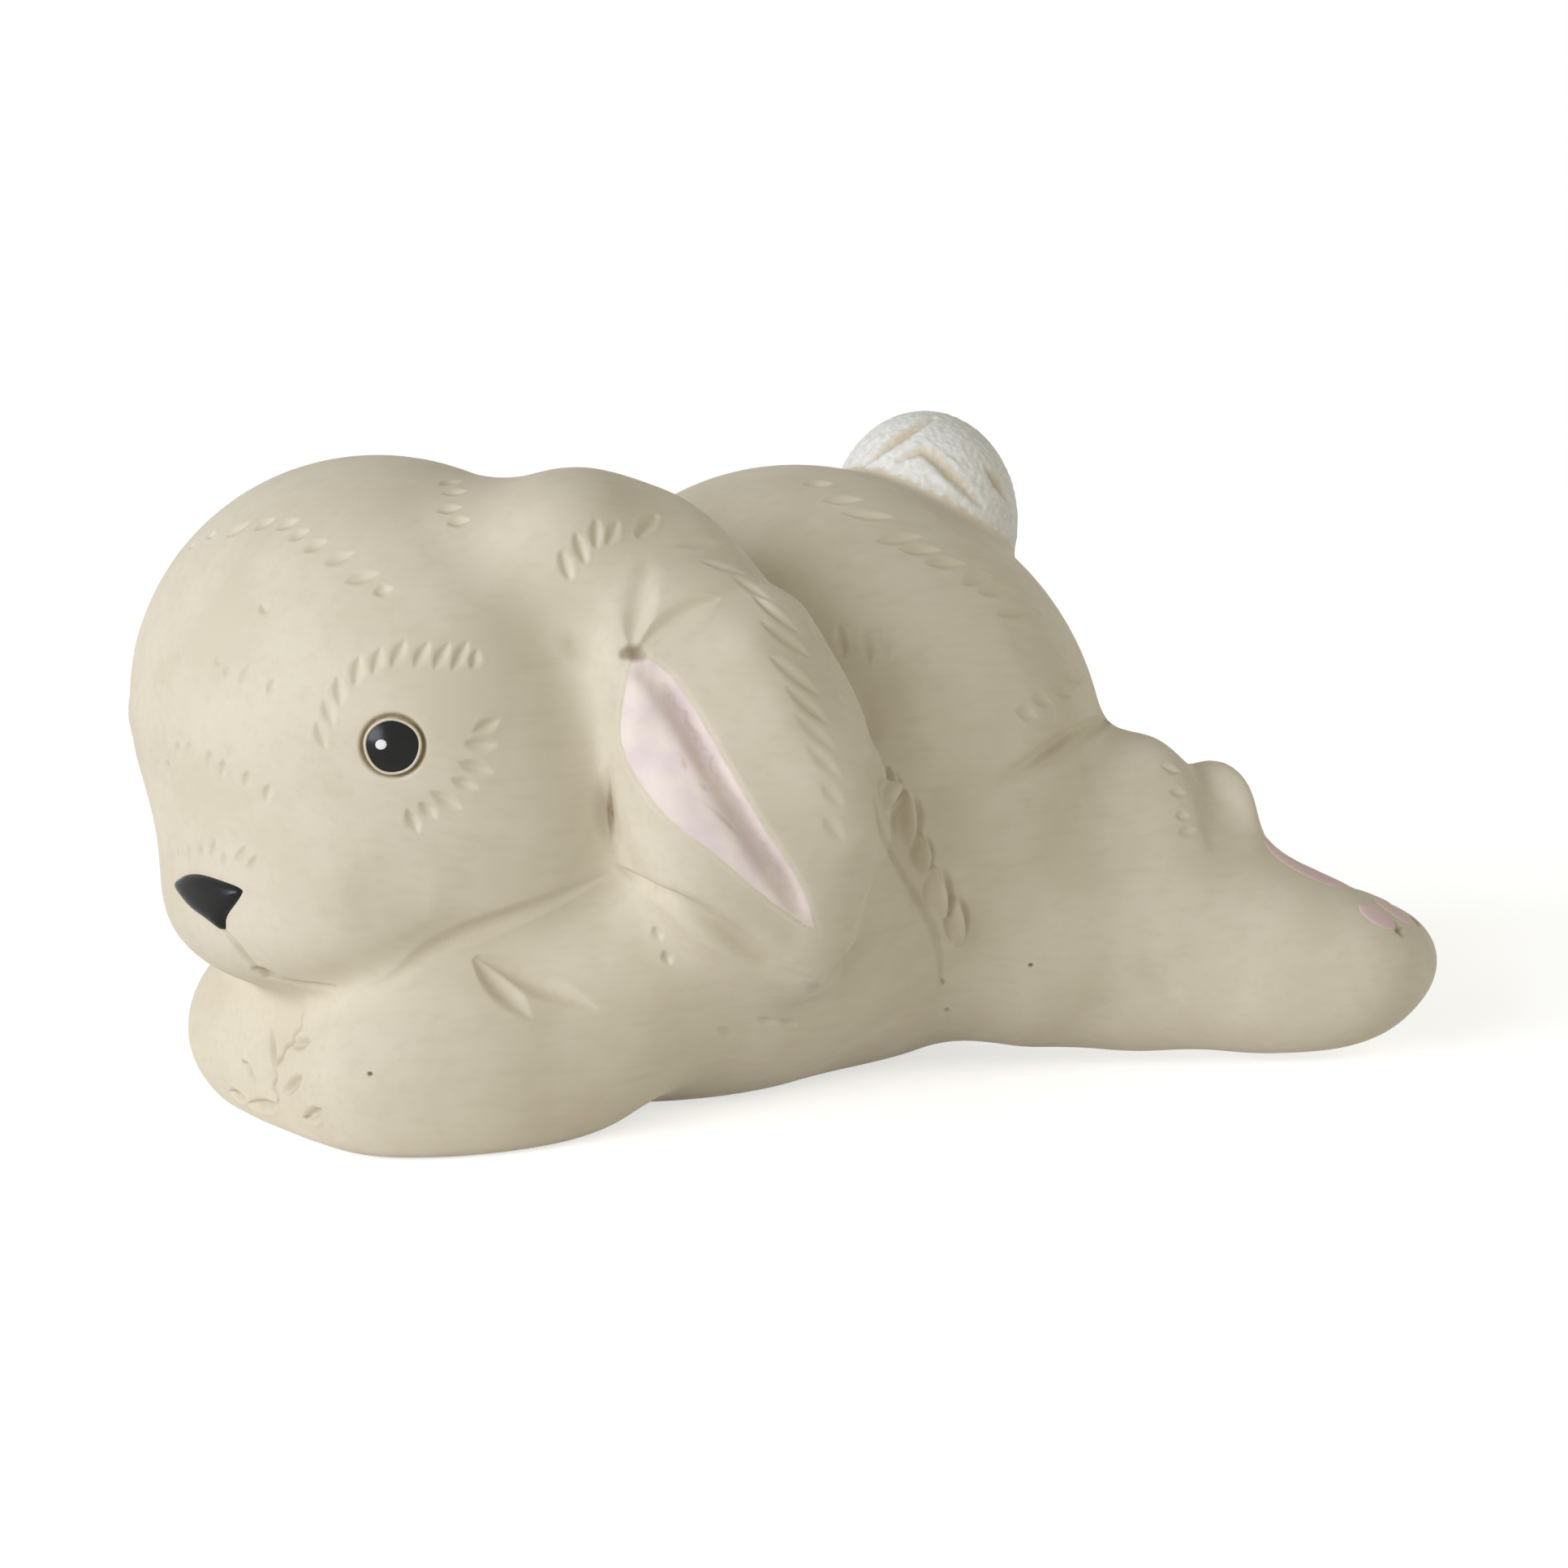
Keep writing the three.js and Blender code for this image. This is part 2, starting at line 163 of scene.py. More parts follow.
def nearest(path: Array, points: Array) -> tuple[Array, Array, Array]:
    """Finds the nearest place on a path.

    Args:
        path: The path's corners.
        points: The points to measure, in as many dimensions.

    Returns:
        For each point the number of the nearest stretch, the share of that stretch, and the gap.
    """
    step = np.diff(path, axis=0)
    span = np.maximum((step * step).sum(1), 1e-9)
    ahead = points[:, None] - path[:-1]
    share = np.clip((ahead * step).sum(2) / span, 0.0, 1.0)
    gap = np.linalg.norm(ahead - share[..., None] * step, axis=2)
    best = gap.argmin(1)
    row = np.arange(len(points))
    return best, share[row, best], gap[row, best]


def smooth(share: Array) -> Array:
    """Gives a smooth step from 0 to 1."""
    share = np.clip(share, 0.0, 1.0)
    return share * share * (3.0 - 2.0 * share)


def unit(vectors: Array) -> Array:
    """Gives the vectors with a length of 1."""
    return vectors / np.maximum(np.linalg.norm(vectors, axis=-1, keepdims=True), 1e-9)


def bearing(azimuth: float, elevation: float) -> Array:
    """Gives the way that two angles point.

    Args:
        azimuth: Degrees from -Y, round towards +X.
        elevation: Degrees above the ground.

    Returns:
        A unit vector.
    """
    turn, rise = math.radians(azimuth), math.radians(elevation)
    level = math.cos(rise)
    return np.array([math.sin(turn) * level, -math.cos(turn) * level, math.sin(rise)])


def melt(a: Array, b: Array, soft: float) -> Array:
    """Joins two forms with a fillet.

    Args:
        a: Distances from the first form.
        b: Distances from the second form.
        soft: How far the fillet reaches, in millimetres.

    Returns:
        Distances from the joined form.
    """
    share = np.clip(0.5 + 0.5 * (b - a) / soft, 0.0, 1.0)
    return b + (a - b) * share - soft * share * (1.0 - share)


def carve(a: Array, b: Array, soft: float) -> Array:
    """Keeps what two forms share, with a rounded edge.

    Args:
        a: Distances from the first form.
        b: Distances from the second form.
        soft: How far the rounding reaches, in millimetres.

    Returns:
        Distances from the form that is left.
    """
    return -melt(-a, -b, soft)


def fetch(rows: bpy.types.bpy_prop_collection, name: str, kind: type, width: int = 1) -> Array:
    """Reads one property of all points, edges or faces of a mesh.

    Args:
        rows: The mesh's points, edges, corners or faces.
        name: The property's name.
        kind: The type of its numbers.
        width: How many numbers each of them has.

    Returns:
        The numbers, in rows where there are several to each.
    """
    flat = np.empty(len(rows) * width, kind)
    rows.foreach_get(name, flat)
    return flat.reshape(-1, width) if width > 1 else flat


def keep(mesh: bpy.types.Mesh, name: str, values: Array) -> None:
    """Keeps a number for each point of a mesh."""
    layer = mesh.attributes.get(name) or mesh.attributes.new(name, "FLOAT", "POINT")
    layer.data.foreach_set("value", values.astype(np.float32))


def take_mesh(shell: bmesh.types.BMesh, name: str) -> bpy.types.Mesh:
    """Makes a mesh of a shell that is not needed any more.

    Args:
        shell: The shell.
        name: The mesh's name.

    Returns:
        The mesh.
    """
    mesh = bpy.data.meshes.new(name)
    shell.to_mesh(mesh)
    shell.free()
    return mesh


@dataclass(frozen=True)
class PhotoCamera:
    """The camera of the photograph, which also tells where a pixel of it points."""

    azimuth: float = -36.0
    elevation: float = 7.0
    distance: float = 480.0
    target: Point = (7.0, 0.0, 43.0)
    image_width: float = 1932.0
    focal_pixels: float = 3840.0
    sensor: float = 36.0
    clip_start: float = 10.0

    def back(self) -> Array:
        """Gives the way from the target to the camera."""
        return bearing(self.azimuth, self.elevation)

    def right(self) -> Array:
        """Gives the way to the right of the picture."""
        turn = math.radians(self.azimuth)
        return np.array([math.cos(turn), math.sin(turn), 0.0])

    def place(self) -> Array:
        """Gives where the camera stands."""
        return np.array(self.target) + self.back() * self.distance

    def rays(self, pixels: Sequence[Pixel]) -> Array:
        """Gives the way in which each pixel of the photograph looks.

        Args:
            pixels: Places in the photograph.

        Returns:
            One unit vector for each pixel.
        """
        back, right = self.back(), self.right()
        up = np.cross(back, right)
        aside = (np.asarray(pixels, float) - self.image_width / 2) / self.focal_pixels
        return unit(-back + aside[:, :1] * right - aside[:, 1:] * up)

    def pixels(self, points: Array) -> tuple[Array, Array]:
        """Finds where points appear in the photograph.

        Args:
            points: Places on the sculpture.

        Returns:
            The pixel of each point, and how many millimetres a pixel spans there.
        """
        ahead = points - self.place()
        back, right = self.back(), self.right()
        span = -(ahead @ back) / self.focal_pixels
        aside = np.stack([ahead @ right, ahead @ np.cross(right, back)], axis=-1)
        return aside / span[..., None] + self.image_width / 2, span

    def build(self) -> None:
        """Makes the scene's camera."""
        data = bpy.data.cameras.new("photo_camera")
        data.sensor_width = self.sensor
        data.lens = self.focal_pixels / self.image_width * self.sensor
        data.clip_start = self.clip_start * MM
        camera = bpy.data.objects.new("photo_camera", data)
        camera.location = Vector(to_frame(self.place()))
        camera.rotation_euler = Vector(-self.back()).to_track_quat("-Z", "Y").to_euler()
        bpy.context.scene.collection.objects.link(camera)
        bpy.context.scene.camera = camera


@dataclass(frozen=True)
class Form:
    """A swelling of the clay: an ellipsoid, which may lean."""

    at: Point
    half: Point
    along: Point = (1.0, 0.0, 0.0)
    face: Point = (0.0, 0.0, 1.0)

    @cached_property
    def axes(self) -> Array:
        """Gives the ways in which it lies.

        Returns:
            The directions of its length, width and thickness, one to a row.
        """
        length = unit(np.array(self.along, float))
        thick = np.array(self.face, float)
        thick = unit(thick - length * thick.dot(length))
        return np.stack([length, np.cross(thick, length), thick])

    def distance(self, points: Array) -> Array:
        """Gives about how far outside the form points are.

        Args:
            points: The points to measure.

        Returns:
            The distance of each point, below 0 inside.
        """
        share = (points - np.array(self.at)) @ (self.axes.T / np.array(self.half))
        squares = share * share
        reach = np.sqrt(squares.sum(-1))
        slope = np.sqrt(squares @ (1.0 / np.array(self.half) ** 2))
        return reach * (reach - 1.0) / np.maximum(slope, 1e-9)

    def mirrored(self) -> Form:
        """Gives the same form on the rabbit's other side."""
        at, along, face = (tuple(MIRROR * way) for way in (self.at, self.along, self.face))
        return replace(self, at=at, along=along, face=face)

    def turned(self, degrees: float, about: Point) -> Form:
        """Gives the form turned about an upright axis.

        Args:
            degrees: How far it turns, from +X to +Y.
            about: A place on the axis.

        Returns:
            The turned form.
        """
        turn = Matrix.Rotation(math.radians(degrees), 3, "Z")
        at = turn @ (Vector(self.at) - Vector(about)) + Vector(about)
        along, face = turn @ Vector(self.along), turn @ Vector(self.face)
        return replace(self, at=tuple(at), along=tuple(along), face=tuple(face))

    def matrix(self) -> Matrix:
        """Gives the matrix that makes the form from a ball of radius 1."""
        turn = Matrix(self.axes.T.tolist()).to_4x4()
        return Matrix.Translation(self.at) @ turn @ Matrix.Diagonal((*self.half, 1.0))


@dataclass(frozen=True)
class Tool:
    """A modelling tool: how its marks are shaped, and how much thin paint and painted shade darken them.
    """

    width: float
    depth: float
    wash: float = 0.3
    lip: float = 0.18
    taper: float = 0.75
    fade: float = 0.0


# Each tool darkens its marks: partly with thin paint, partly with painted shade in creases and hollows.
ROUND_TICK = Tool(2.1, 0.5, wash=0.06, lip=0.1, taper=0.35)
TICK = Tool(2.1, 0.45, wash=0.06, lip=0.1, taper=0.75)
STROKE = Tool(2.6, 0.65, wash=0.05, lip=0.1, taper=0.75)
FINE_TICK = Tool(1.8, 0.42, wash=0.09, lip=0.1, taper=0.75)
WHISKER = Tool(1.3, 0.35, wash=0.2, lip=0.1)
HAIR = Tool(0.8, 0.04, wash=0.3, lip=0.0)
PETAL = Tool(3.1, -1.8, wash=0.0, lip=0.0, taper=0.55)
PETAL_EDGE = Tool(1.3, 0.3, wash=0.3, lip=0.0, taper=0.7)
PETAL_SHADE = Tool(1.9, 0.4, wash=0.36, lip=0.0, taper=0.7)
GROOVE = Tool(2.2, 0.6, wash=0.3, lip=0.0, taper=0.6)
CURL = Tool(2.8, 0.5, wash=0.62, lip=0.15, taper=0.5)
CLEFT = Tool(1.8, 0.55, wash=0.28, lip=0.05, taper=0.4)
SIDE_FOLD = Tool(4.2, 0.85, wash=0.05, lip=0.1, taper=0.8)
SOFT_FOLD = Tool(5.5, 0.9, wash=0.04, lip=0.0, taper=0.95)
VALLEY = Tool(8.0, 1.0, wash=0.14, lip=0.0, taper=0.8)
FURROW = Tool(5.5, 1.7, wash=0.1, lip=0.0, taper=0.9)
DIMPLE = Tool(3.0, 0.8, wash=0.5, lip=0.05, taper=0.3)
LINE = Tool(1.7, 0.5, wash=0.32, lip=0.0, taper=0.85)
FAINT_STROKE = Tool(2.2, 0.26, wash=0.05, lip=0.1, taper=0.85)
EDGE_STROKE = Tool(2.3, 0.5, wash=0.07, lip=0.1, taper=0.85)
SLIGHT_DENT = Tool(8.0, 0.4, wash=0.03, lip=0.0, taper=0.8)
SOFT_DENT = Tool(7.0, 0.7, wash=0.0, lip=0.0, taper=0.8)
WRINKLE = Tool(4.6, 1.1, wash=0.12, lip=0.0, taper=0.75, fade=0.5)
CRACK = Tool(1.0, 0.4, wash=0.35, lip=0.25, taper=0.6)
CLAW = Tool(2.1, 0.9, wash=0.24, lip=0.15, taper=0.7)
HEM = Tool(5.6, 2.2, wash=0.18, lip=0.05, taper=0.92)
SLIGHT_HEM = Tool(5.5, 1.1, wash=0.08, lip=0.0, taper=0.7)
JAW_CREASE = Tool(4.6, 0.4, wash=0.12, lip=0.0, taper=0.95)
CHEEK_HOLLOW = Tool(14.0, 0.6, wash=0.02, lip=0.0, taper=0.97)
# A crease that is only darkened, not pressed in: painted shade.
CREASE = Tool(4.4, 0.0, wash=0.32, lip=0.0, taper=0.8)
# A thin line, barely pressed and darkened: painted shade in the crease.
DARK_LINE = Tool(1.3, 0.2, wash=0.55, lip=0.0, taper=0.8)
PIT = Tool(2.7, 0.8, wash=0.62, lip=0.05, taper=0.3)
SPECK = Tool(0.8, 0.3, wash=0.4, lip=0.0, taper=0.0)
PINHOLE = Tool(0.55, 0.3, wash=1.0, lip=0.0, taper=0.0)


@dataclass(frozen=True)
class Marks:
    """Marks of one tool, each drawn along pixels of the photograph."""

    tool: Tool
    paths: tuple[tuple[Pixel, ...], ...]
    repeat: Repeat = Repeat.BODY


@dataclass
class Trace:
    """A tool mark as it lies on the clay."""

    tool: Tool
    points: Array
    normals: Array
    lip_reach: float = 1.8
    wash_reach: float = 1.3

    def near(self, points: Array, margin: float) -> Array:
        """Finds the points that the mark may reach.

        Args:
            points: The points of the skin.
            margin: How far round the mark is searched as well.

        Returns:
            The numbers of the points that are found.
        """
        room = self.tool.width / 2 * self.lip_reach + margin
        inside = (points > self.points.min(0) - room) & (points < self.points.max(0) + room)
        return np.flatnonzero(inside.all(axis=1))

    def measure(self, points: Array) -> tuple[Array, Array, Array]:
        """Finds where points lie beside the mark.

        Args:
            points: Places near the mark.

        Returns:
            The share of the mark's length, the distance from its middle line, and the way out of
            the clay there.
        """
        best, share, gap = nearest(self.points, points)
        return (best + share) / (len(self.points) - 1), gap, self.normals[best]

    def press(self, share: Array, aside: Array) -> tuple[Array, Array]:
        """Gives how the mark moves and darkens the clay.

        Args:
            share: Shares of the mark's length.
            aside: Distances from its middle line.

        Returns:
            The rise of the clay, and the share of thin paint and painted shade.
        """
        tool = self.tool
        full = 1.0 - tool.taper * (2.0 * share - 1.0) ** 2
        out = aside / (tool.width / 2 * full)
        bowl = full * (1.0 - tool.fade * share) * np.maximum(1.0 - out**2, 0.0) ** 2
        lip_half = (self.lip_reach - 1.0) / 2
        ridge = np.maximum((out - 1.0) * (self.lip_reach - out), 0.0) / lip_half**2
        rise = abs(tool.depth) * tool.lip * full * ridge - tool.depth * bowl
        return rise, tool.wash * full * np.maximum(1.0 - (out / self.wash_reach) ** 2, 0.0)


@dataclass(frozen=True)
class Casting:
    """A part of the sculpture that is cast by itself."""

    side: Side | None = None
    soft: float = 8.0
    joint: float = 4.0

    def name(self) -> str:
        """Gives the name of its node in the frame."""
        plain = "".join("_" + c.lower() if c.isupper() else c for c in type(self).__name__)[1:]
        return plain if self.side is None else f"{self.side.name.lower()}_{plain}"

    def shapes(self) -> list[Form]:
        """Gives its forms as they are on the left side."""
        return [v for v in vars(self).values() if isinstance(v, Form)]

    @cached_property
    def forms(self) -> list[Form]:
        """Gives its forms where they are."""
        shapes = self.shapes()
        return [f.mirrored() for f in shapes] if self.side is Side.RIGHT else shapes

    def distance(self, points: Array) -> Array:
        """Gives about how far outside the casting points are.

        Args:
            points: The points to measure.

        Returns:
            The distance of each point, below 0 inside.
        """
        found = self.forms[0].distance(points)
        for form in self.forms[1:]:
            found = melt(found, form.distance(points), self.soft)
        return found

    def marks(self) -> list[Marks]:
        """Gives the tool marks on it.

        Returns:
            The marks, or none on the right side, where those of the left side are repeated.
        """
        if self.side is Side.RIGHT:
            return []
        return [v for v in vars(self).values() if isinstance(v, Marks)]


@dataclass(frozen=True)
class Torso(Casting):
    """The chest, back and rump."""

    soft: float = 5.0
    chest: Form = Form((-15.1, 0.0, 34.6), (55.1, 42.4, 38.2))
    back: Form = Form((7.5, 0.0, 56.7), (37.4, 32.1, 34.8))
    rump: Form = Form((13.4, 0.0, 44.0), (46.6, 42.0, 45.6))
    rump_fur: Marks = Marks(
        STROKE,
        (
            ((992, 597), (1024, 595)),
            ((1015, 617), (1060, 615)),
            ((1040, 632), (1099, 637)),
            ((1082, 667), (1133, 661)),
            ((1110, 677), (1158, 678)),
            ((1140, 693), (1187, 694)),
            ((1186, 719), (1221, 709)),
            ((1207, 730), (1244, 725)),
            ((1229, 757), (1269, 752)),
        ),
    )
    tail_side_fur: Marks = Marks(
        STROKE,
        (
            ((1306, 828), (1332, 838)),
            ((1296, 848), (1320, 856)),
            ((1272, 860), (1296, 866)),
            ((1252, 876), (1278, 882)),
        ),
    )
    haunch_fur: Marks = Marks(
        TICK,
        (
            ((1032, 769), (1040, 809)),
            ((1063, 769), (1071, 817)),
            ((1088, 772), (1094, 809)),
        ),
    )
    rump_crease: Marks = Marks(FURROW, (((1380, 876), (1335, 902), (1300, 926), (1225, 968)),))
    rump_line: Marks = Marks(LINE, (((1366, 884), (1330, 906), (1298, 930), (1262, 954)),))
    haunch_valley: Marks = Marks(VALLEY, (((1062, 850), (1086, 960), (1122, 1060), (1156, 1190)),))
    haunch_petals: Marks = Marks(
        PETAL,
        (
            ((1096, 950), (1100, 992)),
            ((1116, 978), (1124, 1038)),
            ((1134, 1030), (1140, 1074)),
            ((1151, 1070), (1161, 1128)),
            ((1174, 1106), (1182, 1162)),
        ),
    )
    petal_shades: Marks = Marks(
        PETAL_SHADE,
        (
            ((1102, 950), (1108, 970), (1103, 994)),
            ((1126, 976), (1136, 1006), (1128, 1040)),
            ((1141, 1028), (1148, 1050), (1144, 1078)),
            ((1162, 1068), (1172, 1096), (1165, 1130)),
            ((1183, 1104), (1192, 1132), (1186, 1163)),
        ),
    )
    petal_edges: Marks = Marks(
        PETAL_EDGE,
        (
            ((1094, 952), (1088, 972), (1094, 992)),
            ((1113, 980), (1104, 1008), (1113, 1038)),
            ((1132, 1032), (1126, 1052), (1133, 1074)),
            ((1148, 1072), (1140, 1100), (1149, 1129)),
            ((1172, 1108), (1164, 1134), (1173, 1161)),
        ),
    )
    haunch_groove: Marks = Marks(
        GROOVE,
        (((1078, 985), (1088, 1032), (1118, 1082), (1143, 1125), (1157, 1160), (1161, 1215)),),
    )
    haunch_specks: Marks = Marks(SPECK, (((1161, 1208), (1163, 1212)), ((1166, 1243), (1168, 1246))))
    shoulder_dents: Marks = Marks(FINE_TICK, (((806, 1142), (814, 1158)), ((818, 1172), (826, 1188))))
    belly_fur: Marks = Marks(
        FINE_TICK,
        (((885, 1266), (905, 1276)), ((935, 1254), (955, 1262)), ((962, 1256), (982, 1264))),
    )


@dataclass(frozen=True)
class Head(Casting):
    """The skull, cheeks and muzzle, with the face turned a little to its left."""

    soft: float = 15.0
    turn: float = 15.5
    skull: Form = Form((-62.8, 0.0, 59.5), (32.8, 37.0, 34.6))
    cheek: Form = Form((-59.0, -16.5, 39.5), (12.5, 17.5, 16.0))
    muzzle: Form = Form((-80.5, 0.0, 32.5), (12.6, 18.5, 10.0))
    hairline: Marks = Marks(
        TICK,
        (
            ((214, 688), (219, 682)),
            ((234, 676), (239, 668)),
            ((258, 663), (262, 656)),
            ((279, 661), (306, 644)),
            ((314, 652), (338, 639)),
            ((341, 652), (368, 640)),
            ((357, 665), (380, 653)),
            ((376, 679), (402, 666)),
            ((402, 695), (434, 682)),
            ((427, 717), (466, 707)),
            ((461, 731), (482, 725)),
        ),
        Repeat.NONE,
    )
    crown: Marks = Marks(
        TICK,
        (
            ((542, 597), (566, 592)),
            ((545, 608), (575, 605)),
            ((539, 630), (568, 625)),
            ((552, 645), (578, 641)),
        ),
        Repeat.HEAD,
    )
    brow: Marks = Marks(
        TICK,
        (
            ((390, 891), (400, 921)),
            ((399, 864), (410, 893)),
            ((416, 835), (419, 868)),
            ((443, 809), (437, 844)),
            ((469, 799), (460, 830)),
            ((499, 789), (483, 821)),
            ((528, 791), (511, 821)),
            ((553, 793), (535, 823)),
            ((576, 791), (558, 825)),
            ((588, 801), (582, 823)),
        ),
        Repeat.HEAD,
    )
    eye_corner: Marks = Marks(
        TICK,
        (
            ((584, 901), (615, 887)),
            ((573, 917), (611, 918)),
            ((567, 940), (606, 952)),
            ((558, 960), (588, 972)),
            ((532, 976), (567, 996)),
            ((518, 989), (537, 1008)),
            ((502, 997), (515, 1025)),
        ),
        Repeat.HEAD,
    )
    forehead: Marks = Marks(
        FINE_TICK,
        (
            ((198, 813), (200, 843)),
            ((223, 790), (219, 817)),
            ((270, 808), (267, 820)),
            ((281, 821), (277, 832)),
            ((309, 819), (295, 841)),
            ((339, 837), (330, 854)),
            ((321, 744), (329, 755)),
        ),
        Repeat.NONE,
    )
    nose_bridge: Marks = Marks(
        FINE_TICK,
        (
            ((207, 937), (207, 957)),
            ((219, 915), (219, 935)),
            ((233, 915), (232, 935)),
            ((259, 925), (257, 945)),
            ((276, 937), (273, 957)),
            ((306, 951), (302, 971)),
            ((332, 967), (327, 987)),
        ),
        Repeat.NONE,
    )
    muzzle_hair: Marks = Marks(
        WHISKER,
        (
            ((218, 1045), (219, 1057)),
            ((232, 1040), (232, 1058)),
            ((248, 1040), (245, 1057)),
            ((265, 1033), (259, 1058)),
            ((277, 1050), (274, 1067)),
            ((304, 1042), (287, 1065)),
            ((318, 1053), (304, 1073)),
        ),
        Repeat.NONE,
    )
    lip_cleft: Marks = Marks(CLEFT, (((278, 1149), (294, 1168), (304, 1181), (322, 1198)),), Repeat.NONE)
    mouth_corner: Marks = Marks(DIMPLE, (((317, 1196), (334, 1201)),), Repeat.NONE)
    mouth: Marks = Marks(CLEFT, (((330, 1204), (370, 1212), (412, 1217)),), Repeat.NONE)
    jaw_crease: Marks = Marks(
        JAW_CREASE,
        (
            (
                (440, 1222),
                (488, 1207),
                (522, 1176),
                (556, 1158),
                (589, 1144),
                (640, 1126),
                (690, 1106),
                (757, 1072),
            ),
        ),
    )
    cheek_hollow: Marks = Marks(CHEEK_HOLLOW, (((424, 1072), (470, 1094), (528, 1132)),))

    @cached_property
    def forms(self) -> list[Form]:
        """Gives its forms where they are."""
        level = [self.skull, self.cheek, self.cheek.mirrored(), self.muzzle]
        return [form.turned(self.turn, self.skull.at) for form in level]

    def across(self, points: Array) -> Array:
        """Mirrors places in the head's own middle plane.

        Args:
            points: The places.

        Returns:
            The mirrored places.
        """
        angle = math.radians(self.turn)
        plane = np.array([-math.sin(angle), math.cos(angle), 0.0])
        return points - 2.0 * ((points - np.array(self.skull.at)) @ plane)[:, None] * plane


@dataclass(frozen=True)
class Foreleg(Casting):
    """A folded foreleg, whose paw meets the other in front."""

    joint: float = 6.0
    upper_arm: Form = Form((-39.0, -20.0, 22.0), (16.0, 15.0, 17.0))
    forearm: Form = Form((-57.5, -21.9, 13.3), (26.2, 11.8, 16.6), (-1.0, 0.12, -0.08))
    paw: Form = Form((-73.6, -8.9, 9.6), (8.4, 11.8, 12.0))
    wrist_folds: Marks = Marks(WRINKLE, (((586, 1184), (652, 1252)), ((590, 1180), (732, 1242))))
    paw_split: Marks = Marks(
        CRACK,
        (
            (
                (377, 1244),
                (370, 1257),
                (373, 1266),
                (361, 1275),
                (363, 1283),
                (350, 1291),
                (349, 1302),
                (337, 1315),
                (342, 1328),
                (335, 1340),
                (345, 1352),
                (340, 1361),
                (348, 1374),
            ),
        ),
        Repeat.NONE,
    )
    claws: Marks = Marks(
        CLAW,
        (
            ((334, 1262), (338, 1324)),
            ((300, 1308), (314, 1332)),
            ((284, 1346), (302, 1353)),
            ((306, 1361), (342, 1362)),
            ((360, 1288), (382, 1283)),
            ((350, 1348), (372, 1326)),
            ((375, 1380), (396, 1367)),
        ),
        Repeat.NONE,
    )
    claw_pits: Marks = Marks(
        SPECK,
        (((298, 1307), (301, 1309)), ((287, 1347), (290, 1349)), ((375, 1378), (378, 1377))),
        Repeat.NONE,
    )
    pinhole: Marks = Marks(PINHOLE, (((455, 1323), (457, 1323)),), Repeat.NONE)


@dataclass(frozen=True)
class HindLeg(Casting):
    """A hind leg that is stretched out behind, sole up."""

    joint: float = 6.5
    thigh: Form = Form((38.5, -22.4, 24.4), (24.8, 20.6, 22.0))
    shank: Form = Form((50.5, -31.6, 27.0), (12.5, 14.6, 23.9))
    heel: Form = Form((64.2, -35.8, 37.8), (3.5, 8.0, 8.0))
    foot: Form = Form((62.9, -42.3, 17.7), (26.3, 12.2, 15.3), (0.82, -0.52, -0.25))
    toes: Form = Form((83.0, -49.5, 14.0), (13.6, 9.3, 9.5))
    underside: Form = Form((58.0, -36.0, 10.8), (24.0, 8.0, 6.0), (0.82, -0.52, 0.0))
    shank_fur: Marks = Marks(
        TICK,
        (
            ((1431, 943), (1453, 951)),
            ((1442, 975), (1461, 978)),
            ((1449, 1005), (1465, 1005)),
            ((1452, 1026), (1473, 1022)),
        ),
    )
    ankle_dent: Marks = Marks(SOFT_DENT, (((1410, 1171), (1455, 1241)),))
    heel_valley: Marks = Marks(SLIGHT_DENT, (((1478, 940), (1488, 990), (1494, 1050)),))
    toe_dimples: Marks = Marks(DIMPLE, (((1722, 1142), (1726, 1148)), ((1741, 1131), (1745, 1136))))
    speck: Marks = Marks(PINHOLE, (((1269, 1189), (1271, 1189)),), Repeat.NONE)


